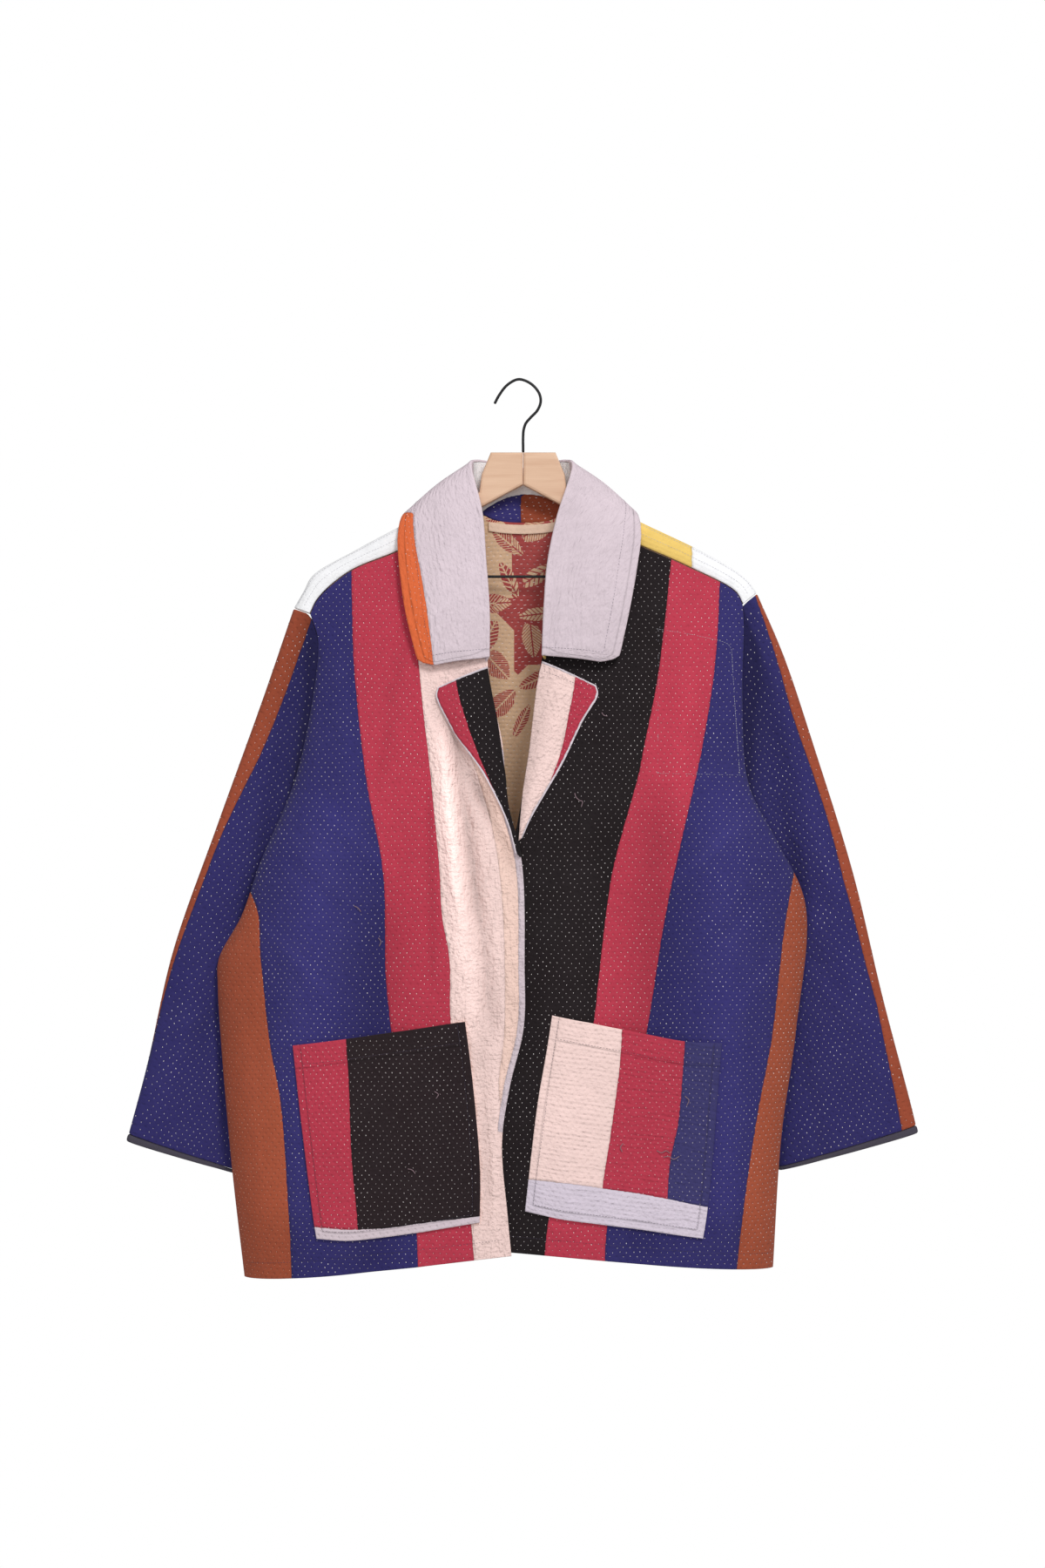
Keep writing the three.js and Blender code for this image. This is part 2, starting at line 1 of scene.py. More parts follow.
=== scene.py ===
import bpy
import numpy as np
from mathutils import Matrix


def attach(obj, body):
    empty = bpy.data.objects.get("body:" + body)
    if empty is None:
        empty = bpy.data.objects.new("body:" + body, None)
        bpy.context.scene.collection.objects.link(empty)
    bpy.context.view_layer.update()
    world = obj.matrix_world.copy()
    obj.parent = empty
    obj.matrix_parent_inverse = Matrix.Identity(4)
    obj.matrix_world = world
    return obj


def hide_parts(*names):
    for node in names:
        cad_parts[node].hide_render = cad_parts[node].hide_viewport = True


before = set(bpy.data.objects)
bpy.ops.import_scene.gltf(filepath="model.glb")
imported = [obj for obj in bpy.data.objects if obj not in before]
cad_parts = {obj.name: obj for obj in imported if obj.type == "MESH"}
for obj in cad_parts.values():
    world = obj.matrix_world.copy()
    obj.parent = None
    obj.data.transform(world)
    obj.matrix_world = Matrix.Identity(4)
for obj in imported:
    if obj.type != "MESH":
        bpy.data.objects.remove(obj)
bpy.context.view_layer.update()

# View, light and floor
# The camera stands level and square on, 3 m in front of the cloth, where the picture is 1.674 m high.
CAMERA_DISTANCE = 3.0
PICTURE_HEIGHT = 1.674
CLOTH_PLANE = -0.04
SENSOR = 36.0
camera_data = bpy.data.cameras.new("camera")
camera_data.sensor_fit = "VERTICAL"
camera_data.sensor_height = SENSOR
camera_data.lens = SENSOR * CAMERA_DISTANCE / PICTURE_HEIGHT
camera = bpy.data.objects.new("camera", camera_data)
camera.location = (0.0033, CLOTH_PLANE - CAMERA_DISTANCE, -0.4363)
camera.rotation_euler = (np.pi / 2, 0, 0)
bpy.context.scene.collection.objects.link(camera)
bpy.context.scene.camera = camera
bpy.context.scene.view_settings.view_transform = "Standard"


def put(tree, kind, *inputs, named=None, **settings):
    """A shader node: inputs by place and by name are sockets to link or plain values."""
    made = tree.nodes.new("ShaderNode" + kind)
    for key, value in settings.items():
        setattr(made, key, value)
    for place, value in [*enumerate(inputs), *(named or {}).items()]:
        if isinstance(value, bpy.types.NodeSocket):
            tree.links.new(value, made.inputs[place])
        elif value is not None:
            made.inputs[place].default_value = value
    return made


def calc(tree, operation, a, b=0.0, c=0.0):
    """One sum on shader values."""
    return put(tree, "Math", a, b, c, operation=operation).outputs[0]


# A white room: full white where it is seen, softer where it lights the cloth.
world = bpy.data.worlds.new("white room")
world.use_nodes = True
world_tree = world.node_tree
world_tree.nodes.clear()
seen = put(world_tree, "LightPath").outputs["Is Camera Ray"]
glow = calc(world_tree, "MULTIPLY_ADD", seen, 0.6, 0.4)
background = put(world_tree, "Background", (1, 1, 1, 1), glow)
put(world_tree, "OutputWorld", background.outputs[0])
bpy.context.scene.world = world


JACKET_MIDDLE = (0, 0, -0.55)


def lamp(name, place, size, watts):
    """A soft square studio lamp pointed at the middle of the jacket."""
    data = bpy.data.lights.new(name, "AREA")
    data.size = size
    data.energy = watts
    made = bpy.data.objects.new(name, data)
    made.location = place
    direction = np.array(JACKET_MIDDLE) - np.array(place)
    flat = np.hypot(direction[0], direction[1])
    made.rotation_euler = (np.arctan2(flat, -direction[2]), 0, np.arctan2(-direction[0], direction[1]))
    bpy.context.scene.collection.objects.link(made)


lamp("key lamp", (0.9, -2.3, 1.6), 0.8, 56)
lamp("front lamp", (-0.5, -3.5, 0.1), 1.4, 24)
lamp("back lamp", (1.2, 2.6, 0.8), 1.6, 40)


def smooth(low, high, x):
    t = np.clip((x - low) / (high - low), 0, 1)
    return t * t * (3 - 2 * t)


def mix(a, b, t):
    return a + (b - a) * t


def colour(red, green, blue):
    """A colour as read off a picture, 0 to 255, as the linear light that a shader takes."""
    c = np.array([red, green, blue]) / 255
    linear = np.where(c <= 0.04045, c / 12.92, ((c + 0.055) / 1.055) ** 2.4)
    return (*linear.tolist(), 1.0)


def make(name, points, faces, materials, node=None, inner=None):
    """A mesh object from points in millimetres and lists of faces, riding on the jacket's one body."""
    mesh = bpy.data.meshes.new(name)
    mesh.from_pydata((points * 0.001).tolist(), [], faces)
    for material in materials:
        mesh.materials.append(material)
    if inner is not None:
        mesh.polygons.foreach_set("material_index", inner.astype(np.int32))
    mesh.polygons.foreach_set("use_smooth", np.ones(len(mesh.polygons), bool))
    made = bpy.data.objects.new(name, mesh)
    bpy.context.scene.collection.objects.link(made)
    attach(made, "root")
    if node:
        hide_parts(node)
    return made


floor_mesh = bpy.data.meshes.new("floor")
floor_mesh.from_pydata(
    [(-1.6, -1.6, -1.95), (1.6, -1.6, -1.95), (1.6, 1.6, -1.95), (-1.6, 1.6, -1.95)], [], [(0, 1, 2, 3)]
)
floor = bpy.data.objects.new("floor", floor_mesh)
bpy.context.scene.collection.objects.link(floor)
paint = bpy.data.materials.new("pale floor")
paint.use_nodes = True
paint.node_tree.nodes["Principled BSDF"].inputs["Base Color"].default_value = colour(226, 224, 221)
paint.node_tree.nodes["Principled BSDF"].inputs["Roughness"].default_value = 0.9
floor_mesh.materials.append(paint)

# Quilted cloth
# Four worn layers of soft plain-weave cotton, run through by hand in rows of running stitch.
# Each piece is a surface of two parameters, given two faces a wall apart. Its cloth coordinates are
# the lengths along and up the cloth, so stitches, puckers and weave keep one size everywhere.
WALL = 2.6
STITCH_PITCH = 7.4
ROW_PITCH = 4.7
PAST_END = 30


def through(points, t):
    """Centripetal Catmull-Rom curve through points, read at t from 0 to 1. One curve (n, 3) is read
    at every t; a stack of curves (m, n, 3) is read once each, at its own t."""
    p = np.asarray(points, float)
    first, last = 2 * p[..., :1, :] - p[..., 1:2, :], 2 * p[..., -1:, :] - p[..., -2:-1, :]
    p = np.concatenate([first, p, last], axis=-2)
    d = np.sqrt(np.linalg.norm(np.diff(p, axis=-2), axis=-1))[..., None]
    s = np.clip(t, 0, 1) * (p.shape[-2] - 3)
    i = np.minimum(s.astype(int), p.shape[-2] - 4)
    w = (s - i)[:, None]
    which = () if p.ndim == 2 else (np.arange(len(p)),)
    a, b, c, e = (p[(*which, i + k)] for k in range(4))
    da, db, dc = (d[(*which, i + k)] for k in range(3))
    start = ((b - a) / da - (c - a) / (da + db) + (c - b) / db) * db
    end = ((c - b) / db - (e - b) / (db + dc) + (e - c) / dc) * db
    return b + w * start + w**2 * (3 * (c - b) - 2 * start - end) + w**3 * (2 * (b - c) + start + end)


READINGS = 60


def in_space(points):
    return [q if len(q) == 3 else (q[0], 0, q[1]) for q in points]


def line(points):
    """A smooth curve through [x, z] points at y = 0, walked by its length from 0 to 1."""
    curve = through(in_space(points), np.linspace(0, 1, READINGS * len(points)))
    length = np.r_[0, np.cumsum(np.linalg.norm(np.diff(curve, axis=0), axis=1))]
    share = length / length[-1]
    return lambda t: np.stack([np.interp(t, share, curve[:, k]) for k in range(3)], axis=-1)


def length_to(points, index):
    """The part of a line's length that lies before one of its points."""
    curve = through(in_space(points), np.linspace(0, 1, READINGS * (len(points) - 1) + 1))
    length = np.r_[0, np.cumsum(np.linalg.norm(np.diff(curve, axis=0), axis=1))]
    return length[READINGS * index] / length[-1]


def coons(bottom, top, left, right):
    """A sheet between four edges: each pair of edges blended, less the blend of the corners."""

    def sheet(u, v):
        a, b, c, d = bottom(0.0), bottom(1.0), top(0.0), top(1.0)
        s, t = u[..., None], v[..., None]
        p = bottom(u) * (1 - t) + top(u) * t + left(v) * (1 - s) + right(v) * s
        return p - a * (1 - s) * (1 - t) - b * s * (1 - t) - c * (1 - s) * t - d * s * t

    return sheet


def relief(folds, x, z):
    """Soft ridges and troughs, each [start, end, width, height]: a bell across its line, fading in
    over its first stretch and out again just past its end."""
    total = np.zeros(np.broadcast(x, z).shape)
    for (x0, z0), (x1, z1), width, height in folds:
        length = np.hypot(x1 - x0, z1 - z0)
        along = ((x - x0) * (x1 - x0) + (z - z0) * (z1 - z0)) / length
        aside = ((x - x0) * (z1 - z0) - (z - z0) * (x1 - x0)) / length
        fade_in, fade_out = min(90, length * 0.35), min(50, length * 0.35)
        strength = smooth(0, fade_in, along) * smooth(0, fade_out, length + PAST_END - along)
        total += height * strength * np.exp(-((aside / width) ** 2))
    return total


def normals(p, tube):
    """Unit normals of a grid of points, from the differences between neighbours."""
    if tube:
        wrapped = np.concatenate([p[:, -2:-1], p, p[:, 1:2]], axis=1)
        along = wrapped[:, 2:] - wrapped[:, :-2]
    else:
        along = np.gradient(p, axis=1)
    n = np.cross(along, np.gradient(p, axis=0))
    return n / np.maximum(np.linalg.norm(n, axis=-1, keepdims=True), 1e-9)


def wander(u, v):
    """How far hand-sewn rows stray from a straight lattice, in millimetres, along and across."""
    across = 1.3 * np.sin(u / 31 + 1.7 * np.sin(v / 47)) + 0.8 * np.sin(v / 19 + u / 83)
    up = 1.1 * np.sin(u / 43 + v / 61) + 0.7 * np.sin(u / 17 + 2.1 * np.sin(v / 71))
    return across, up


def panel_plan(anchor):
    """Cloth coordinates of a hanging panel: along, its length seen from above, measured from where
    each row passes x = anchor; up, its height."""

    def plan(p, u, v):
        run = np.linalg.norm(np.diff(p[..., :2], axis=1, prepend=p[:, :1, :2]), axis=-1).cumsum(axis=1)
        turn = 1 if p[0, -1, 0] > p[0, 0, 0] else -1
        passed = [np.interp(anchor, x[::turn], s[::turn]) for x, s in zip(p[..., 0], run)]
        return turn * (run - np.array(passed)[:, None]), p[..., 2]

    return plan


def flat_plan(p, u, v):
    """Cloth coordinates of a piece that lies nearly flat: as seen from the front."""
    return p[..., 0], p[..., 2]


def own_plan(p, u, v):
    """Cloth coordinates of a band: its own lengths along and up from its first corner."""
    along = np.linalg.norm(np.diff(p, axis=1, prepend=p[:, :1]), axis=-1).cumsum(axis=1)
    up = np.linalg.norm(np.diff(p, axis=0, prepend=p[:1]), axis=-1).cumsum(axis=0)
    return along, up


def size_of(sheet):
    """Mean length of a sheet's rows and of its columns."""
    p = sheet(*np.meshgrid(np.linspace(0, 1, 60), np.linspace(0, 1, 60)))
    rows = np.linalg.norm(np.diff(p, axis=1), axis=-1).sum(axis=1).mean()
    return rows, np.linalg.norm(np.diff(p, axis=0), axis=-1).sum(axis=0).mean()


def steps(spacing, size, low, high, wall, closed):
    """Grid lines from low to 1 - high, with close ones at the edges for their rounding."""
    count = max(2, round(size * (1 - low - high) / spacing))
    plain = np.linspace(low, 1 - high, count + 1)
    if closed:
        return plain
    near = np.array([0.07, 0.25, 0.55, 1.0]) * wall / 2 / size
    middle = plain[(plain > low + 1.5 * near[-1]) & (plain < 1 - high - 1.5 * near[-1])]
    return np.r_[low, low + near, middle, 1 - high - near[::-1], 1 - high]


def shell(name, node, sheet, outer, inner, spacing=(3.2, 3.2), wall=WALL, tube=False,
          inset=(0, 0, 0, 0), seams=None, flip=False, plan=own_plan, turned=0):
    """A closed cloth wall round a sheet. Both faces lie half the wall off it along its normal, and
    at free edges the wall narrows to nothing along a quarter circle, so the edge is rolled. It also
    works out the piece's cut size from the lengths of its rows and columns; turned is what wraps under."""
    across, up = size_of(sheet)
    us = steps(spacing[0], across, inset[0], inset[1], wall, tube)
    vs = steps(spacing[1], up, inset[2], inset[3], wall, False)
    u, v = np.meshgrid(us, vs)
    p = sheet(u, v)
    n = normals(p, tube) * (-1 if flip else 1)
    low = (v - vs[0]) * up
    edge = np.minimum(low, (vs[-1] - v) * up)
    if not tube:
        edge = np.minimum(edge, np.minimum(u - us[0], us[-1] - u) * across)
    half = wall / 2 * np.sqrt(1 - (1 - np.clip(edge / (wall / 2), 0, 1)) ** 2)
    m, k = u.shape
    wide = k - 1 if tube else k
    out_face = (p + n * half[..., None])[:, :wide]
    in_face = (p - n * half[..., None])[:, :wide]
    free = np.zeros((m, wide), bool)
    free[[0, -1]] = True
    if not tube:
        free[:, [0, -1]] = True
    ids = np.arange(m * wide).reshape(m, wide)
    back = np.where(free, ids, m * wide + np.cumsum(~free).reshape(m, wide) - 1)
    points = np.vstack([out_face.reshape(-1, 3), in_face[~free]])

    def quads(grid):
        if tube:
            grid = np.concatenate([grid, grid[:, :1]], axis=1)
        return np.stack([grid[:-1, :-1], grid[:-1, 1:], grid[1:, 1:], grid[1:, :-1]], axis=-1).reshape(-1, 4)

    front_faces, back_faces = quads(ids), quads(back)[:, ::-1]
    faces = np.vstack([front_faces, back_faces])
    if flip:
        faces = faces[:, ::-1]
    inside = np.repeat([0, 1], [len(front_faces), len(back_faces)])
    made = make(name, points, faces.tolist(), [outer, inner], node, inside)
    # Cloth coordinates, in metres, one pair for each corner of each face.
    lengths, heights = plan(p, u, v)
    stray = wander(lengths, heights)
    cloth_uv = np.stack([lengths + stray[0], heights + stray[1]], axis=-1) * 0.001
    corner = [cloth_uv[:-1, :-1], cloth_uv[:-1, 1:], cloth_uv[1:, 1:], cloth_uv[1:, :-1]]
    corner = np.stack(corner, axis=-2).reshape(-1, 4, 2)
    corners = np.concatenate([corner, corner[:, ::-1]])
    if flip:
        corners = corners[:, ::-1]
    layer = made.data.uv_layers.new(name="cloth")
    layer.data.foreach_set("uv", corners.astype(np.float32).ravel())
    middle = p[:, :wide]
    for label, distance in (seams or {}).items():
        d = np.clip(distance(middle, u[:, :wide], v[:, :wide]), -12, 12)
        values = np.concatenate([d.ravel(), d[~free]]).astype(np.float32)
        made.data.attributes.new(label, "FLOAT", "POINT").data.foreach_set("value", values)
    rows, columns = np.diff(p, axis=1), np.diff(p, axis=0)
    area = np.linalg.norm(np.cross(rows[:-1], columns[:, :-1]), axis=-1).sum()
    widths = np.linalg.norm(rows, axis=-1).sum(axis=1)
    width = widths.mean() if tube else widths.max()
    length = np.linalg.norm(columns, axis=-1).sum(axis=0).max()
    area *= 1 + turned / length
    length += turned
    area = min(area, width * length) * 1e-6
    return made


def beyond(points, side=1):
    """Signed distance from a seam that runs up a panel: positive past it towards side."""
    curve = line(points)(np.linspace(0, 1, 200))
    order = np.argsort(curve[:, 2])
    return lambda p, u, v: side * (p[..., 0] - np.interp(p[..., 2], curve[order, 2], curve[order, 0]))


def under(points):
    """Signed distance from a seam that runs across a panel: positive below it."""
    curve = line(points)(np.linspace(0, 1, 200))
    order = np.argsort(curve[:, 0])
    return lambda p, u, v: np.interp(p[..., 0], curve[order, 0], curve[order, 2]) - p[..., 2]


RIDGE = [(0, 3, 2), (0, 2, 1), (0, 1, 5), (0, 5, 4), (2, 3, 4), (2, 4, 5), (3, 0, 4), (1, 2, 5)]


def dashes(name, place, along, out, size, material, shade):
    """Stitches as one mesh: each a closed hipped ridge, four corners just in the cloth, two above."""
    length, width, height = (np.broadcast_to(s, len(place))[:, None] for s in size)
    side = np.cross(out, along)
    foot = place - 0.45 * out
    half_long, half_wide = along * length / 2, side * width / 2
    corners = [foot + a * half_long + b * half_wide for a, b in ((-1, -1), (1, -1), (1, 1), (-1, 1))]
    ridge = [place + a * half_long / 2 + out * height for a in (-1, 1)]
    points = np.stack(corners + ridge, axis=1).reshape(-1, 3)
    faces = (np.array(RIDGE)[None] + 6 * np.arange(len(place))[:, None, None]).reshape(-1, 3)
    made = make(name, points, faces.tolist(), [material])
    tone = np.repeat(shade, 6).astype(np.float32)
    made.data.attributes.new("shade", "FLOAT", "POINT").data.foreach_set("value", tone)


def everywhere(p):
    return np.ones(p.shape[:-1], bool)


STRAY = 0.28


def quilting(name, sheet, material, keep, seed, plan=own_plan, flip=False, margin=4, run=(0, 0, 1),
             size=(1.16, 0.92, 0.38), tube=False, step=(0.8, 0.8)):
    """Running stitch all over a piece, one stitch where its cloth coordinates meet the lattice of
    the puckers: rows a row pitch apart, every second row moved on by half a stitch pitch. Stitches
    run along run, stay a margin off the edges and are looked for on a grid with that step."""
    draw = np.random.default_rng(seed)
    across, up = size_of(sheet)
    u, v = np.meshgrid(np.linspace(0, 1, int(across / step[0])), np.linspace(0, 1, int(up / step[1])))
    p = sheet(u, v)
    out = normals(p, tube) * (-1 if flip else 1)
    a, b = plan(p, u, v)
    stray = wander(a, b)
    a, b = (a + stray[0]) / STITCH_PITCH, (b + stray[1]) / ROW_PITCH
    row = np.round(b)
    a = a - row % 2 / 2
    stitch = np.round(a)
    miss = np.hypot((a - stitch) * STITCH_PITCH, (b - row) * ROW_PITCH)
    edge = np.minimum(v, 1 - v) * up
    if not tube:
        edge = np.minimum(edge, np.minimum(u, 1 - u) * across)
    near = (miss < 0.9) & (edge > margin) & keep(p)
    # One number for each place of the lattice, and on a tube for each side; its nearest point is kept.
    key = (row[near] * 4000 + stitch[near]) * 2 + (u[near] > 0.5) * tube
    order = np.lexsort((miss[near], key))
    _, first = np.unique(key[order], return_index=True)
    chosen = order[first]
    chosen = chosen[draw.random(len(chosen)) > 0.03]
    place, out = p[near][chosen], out[near][chosen]
    along = run - out * (out @ np.array(run, float))[:, None]
    along /= np.linalg.norm(along, axis=-1, keepdims=True)
    aside = np.cross(out, along)
    one_each = (len(place), 1)
    place = place + aside * draw.normal(0, STRAY, one_each) + along * draw.normal(0, STRAY, one_each)
    place += out * (WALL / 2 + 0.05)
    along = along + aside * draw.normal(0.08, 0.2, one_each)
    along /= np.linalg.norm(along, axis=-1, keepdims=True)
    x, z = place[:, 0], place[:, 2]
    heavy = np.sin(x / 13 + 2 * np.sin(z / 29)) * np.sin(z / 17 + 2 * np.sin(x / 37)) > 0.62
    weight = draw.uniform(0.78, 1.1, len(place)) + 0.25 * heavy
    shade = np.clip(draw.normal(0.7, 0.17, len(place)) + 0.15 * heavy, 0.35, 1)
    dashes(name, place, along, out, (size[0] * weight, size[1] * weight, size[2]), material, shade)


def attribute(tree, name):
    return put(tree, "Attribute", attribute_name=name).outputs["Fac"]


def new_material(name):
    """A material with an empty shader tree."""
    material = bpy.data.materials.new(name)
    material.use_nodes = True
    material.node_tree.nodes.clear()
    return material, material.node_tree


def dress(tree, looks):
    """Ends a shader tree in one surface with these looks."""
    put(tree, "OutputMaterial", put(tree, "BsdfPrincipled", named=looks).outputs[0])


# How strongly the colour is worn; the painted shade and highlight for each millimetre of fold; the depth of
# a stitch's dimple in millimetres; and the distances between the threads of the weave in metres.
WORN = 0.16
FOLD_SHADE_TONE = 0.048
DIMPLE = 0.62
WARP_PITCH = 0.00062
WEFT_PITCH = 0.00070


def cloth(name, base, layers=(), quilt=1.0, ripple=0.0, puckers=0.0, puckered=None,
          drawn=(150.0, 60.0), pressed=()):
    """Worn cotton. Layers are (seam, colour): each paints its colour past its seam. The height is in
    millimetres: dimples where stitches pull, soft ripples between rows, crinkled puckers past one
    seam or all over, drawn to so many a metre across and up, the weave, seams and pressed lines."""
    material, tree = new_material(name)
    uv = put(tree, "UVMap", uv_map="cloth").outputs[0]
    along, up = put(tree, "SeparateXYZ", uv).outputs[:2]
    place = put(tree, "TexCoord").outputs["Object"]

    def noise(scale, detail=2.0, source=place):
        return put(tree, "TexNoise", source, named={"Scale": scale, "Detail": detail}).outputs[0]

    def stretched(across, upright):
        return put(tree, "Mapping", uv, None, None, (across, upright, 1.0)).outputs[0]

    shown = put(tree, "RGB").outputs[0]
    shown.default_value = base
    wobble = calc(tree, "MULTIPLY_ADD", noise(220.0), 1.6, -0.8)
    creases = None
    for seam, tint in layers:
        distance = calc(tree, "ADD", attribute(tree, seam), wobble)
        past = calc(tree, "GREATER_THAN", distance, 0.0)
        shown = put(tree, "MixRGB", past, shown, tint).outputs[0]
        near = calc(tree, "ABSOLUTE", distance)
        if creases is not None:
            near = calc(tree, "MINIMUM", calc(tree, "MULTIPLY_ADD", past, 9.0, creases), near)
        creases = near
    # Fading in large soft clouds, slubs in the yarn, a faint grey bloom where the cloth is rubbed.
    clouds = calc(tree, "MULTIPLY_ADD", noise(7.0, 3.0), WORN * 1.6, 1.0 - WORN * 0.8)
    mottle = calc(tree, "MULTIPLY_ADD", noise(95.0, 4.0), WORN * 1.2, 1.0 - WORN * 0.6)
    slubs = calc(tree, "MULTIPLY_ADD", noise(1.0, 2.0, stretched(420.0, 2400.0)), 0.22, 0.89)
    # Painted shade and highlight: the fold attribute darkens the colour in troughs and lightens it on
    # ridges.
    painted_fold_shade = calc(tree, "MULTIPLY_ADD", attribute(tree, "fold"), FOLD_SHADE_TONE, 1.0)
    tone = calc(tree, "MULTIPLY", clouds, mottle)
    tone = calc(tree, "MULTIPLY", tone, calc(tree, "MULTIPLY", slubs, painted_fold_shade))
    if creases is not None:
        shadow = calc(tree, "MULTIPLY_ADD", calc(tree, "MINIMUM", creases, 0.9), 0.3, 0.73)
        tone = calc(tree, "MULTIPLY", tone, shadow)
    sunk = None
    for label in pressed:
        line_depth = calc(tree, "MINIMUM", calc(tree, "ABSOLUTE", attribute(tree, label)), 1.4)
        sunk = line_depth if sunk is None else calc(tree, "MINIMUM", sunk, line_depth)
    # Painted shade: the colour is darkened along pressed lines, where the stitching sinks the cloth.
    if sunk is not None:
        tone = calc(tree, "MULTIPLY", tone, calc(tree, "MULTIPLY_ADD", sunk, 0.16, 0.776))
    bloom = calc(tree, "MULTIPLY", noise(30.0, 5.0), 0.02)
    shown = put(tree, "MixRGB", bloom, shown, colour(176, 170, 176)).outputs[0]
    shown = put(tree, "HueSaturation", 0.5, 1.0, tone, 1.0, shown).outputs[0]
    per_stitch, per_row = 2 * np.pi / (STITCH_PITCH * 0.001), 2 * np.pi / (ROW_PITCH * 0.001)
    wave_along = calc(tree, "COSINE", calc(tree, "MULTIPLY", along, per_stitch))
    wave_up = calc(tree, "COSINE", calc(tree, "MULTIPLY", up, per_row / 2))
    dimple = calc(tree, "MAXIMUM", calc(tree, "MULTIPLY", wave_along, wave_up), 0.0)
    dimple = calc(tree, "MULTIPLY", calc(tree, "POWER", dimple, 2.0), -DIMPLE * quilt)
    rolls = calc(tree, "MULTIPLY_ADD", up, per_row, calc(tree, "MULTIPLY", noise(60.0, 3.0), 9.0))
    rolls = calc(tree, "MULTIPLY", calc(tree, "SINE", rolls), 0.16 * ripple + 0.03)
    crumple = calc(tree, "MULTIPLY", noise(120.0, 3.0), quilt)
    threads = calc(tree, "SINE", calc(tree, "MULTIPLY", along, 2 * np.pi / WARP_PITCH))
    picks = calc(tree, "SINE", calc(tree, "MULTIPLY", up, 2 * np.pi / WEFT_PITCH))
    weave = calc(tree, "MULTIPLY", calc(tree, "MULTIPLY", threads, picks), 0.035)
    height = calc(tree, "ADD", calc(tree, "ADD", dimple, rolls), calc(tree, "ADD", crumple, weave))
    if puckers:
        crinkle = calc(tree, "MULTIPLY", noise(1.0, 3.0, stretched(*drawn)), 5.0 * puckers)
        small = calc(tree, "MULTIPLY", noise(1.0, 2.0, stretched(230.0, 300.0)), 2.4 * puckers)
        crinkle = calc(tree, "ADD", crinkle, small)
        if puckered:
            past = calc(tree, "GREATER_THAN", attribute(tree, puckered), 0.0)
            crinkle = calc(tree, "SUBTRACT", crinkle, calc(tree, "MULTIPLY", dimple, 0.8))
            crinkle = calc(tree, "MULTIPLY", crinkle, past)
        height = calc(tree, "ADD", height, crinkle)
    if creases is not None:
        height = calc(tree, "MULTIPLY_ADD", calc(tree, "MINIMUM", creases, 2.0), 0.42, height)
    if sunk is not None:
        height = calc(tree, "MULTIPLY_ADD", sunk, 0.35, height)
    bump = put(tree, "Bump", named={"Strength": 1.0, "Distance": 0.001, "Height": height}).outputs[0]
    looks = {
        "Base Color": shown, "Roughness": 0.92, "Sheen Weight": 0.06, "Sheen Roughness": 0.5,
        "Specular IOR Level": 0.15, "Normal": bump,
    }
    dress(tree, looks)
    return material


def yarn(name, tint, dark):
    """Cotton thread: matt, its tone set stitch by stitch between a dark and a full tint."""
    material, tree = new_material(name)
    place = put(tree, "TexCoord").outputs["Object"]
    twist = put(tree, "TexNoise", place, named={"Scale": 2600.0, "Detail": 1.0}).outputs[0]
    tone = calc(tree, "MULTIPLY", attribute(tree, "shade"), calc(tree, "MULTIPLY_ADD", twist, 0.4, 0.8))
    shown = put(tree, "MixRGB", tone, dark, tint).outputs[0]
    looks = {"Base Color": shown, "Roughness": 0.85, "Sheen Weight": 0.2, "Specular IOR Level": 0.3}
    dress(tree, looks)
    return material


MACHINE_PITCH = 3.3
MACHINE_STITCH = (2.9, 0.75, 0.22)
NUDGE = 1e-3


def topstitch(name, sheet, corners, material, flip=False, seed=31):
    """Machine stitching along a run of corner points given in the two parameters of a sheet."""
    draw = np.random.default_rng(seed)
    corners = np.array(corners, float)
    t = np.linspace(0, len(corners) - 1, 400 * (len(corners) - 1))
    u, v = (np.interp(t, np.arange(len(corners)), corners[:, k])[None] for k in range(2))
    p = sheet(u, v)[0]
    across = sheet(u + NUDGE, v)[0] - sheet(u - NUDGE, v)[0]
    n = np.cross(across, sheet(u, v + NUDGE)[0] - sheet(u, v - NUDGE)[0])
    n /= np.linalg.norm(n, axis=1, keepdims=True) * (-1 if flip else 1)
    length = np.r_[0, np.cumsum(np.linalg.norm(np.diff(p, axis=0), axis=1))]
    at = np.arange(MACHINE_PITCH, length[-1] - MACHINE_PITCH / 2, MACHINE_PITCH)
    at = at + draw.normal(0, 0.12, len(at))
    read = [np.interp(at, length, q[:, k]) for q in (p, n, np.gradient(p, axis=0)) for k in range(3)]
    place, out, along = np.stack(read, axis=-1).reshape(-1, 3, 3).transpose(1, 0, 2)
    out /= np.linalg.norm(out, axis=1, keepdims=True)
    along = along - out * (along * out).sum(axis=1, keepdims=True)
    along /= np.linalg.norm(along, axis=1, keepdims=True)
    shade = np.clip(draw.normal(0.6, 0.2, len(at)), 0, 1)
    dashes(name, place + out * (WALL / 2 + 0.05), along, out, MACHINE_STITCH, material, shade)


RUST = colour(164, 80, 54)
BLUE = colour(48, 44, 104)
RED = colour(186, 57, 77)
BLACK = colour(27, 20, 22)
PINK = colour(250, 219, 213)
PEACH = colour(249, 214, 201)
LILAC = colour(216, 200, 208)
BEIGE = colour(226, 194, 164)
white_yarn = yarn("white thread", colour(252, 246, 244), colour(136, 112, 120))
rust_yarn = yarn("rust thread", colour(236, 176, 148), colour(140, 64, 44))
grey_yarn = yarn("grey thread", colour(186, 184, 192), colour(124, 122, 132))
dark_yarn = yarn("dark thread", colour(88, 80, 100), colour(36, 32, 42))
lining = cloth("plain beige lining", BEIGE, quilt=0.8, ripple=0.4, puckers=0.4)

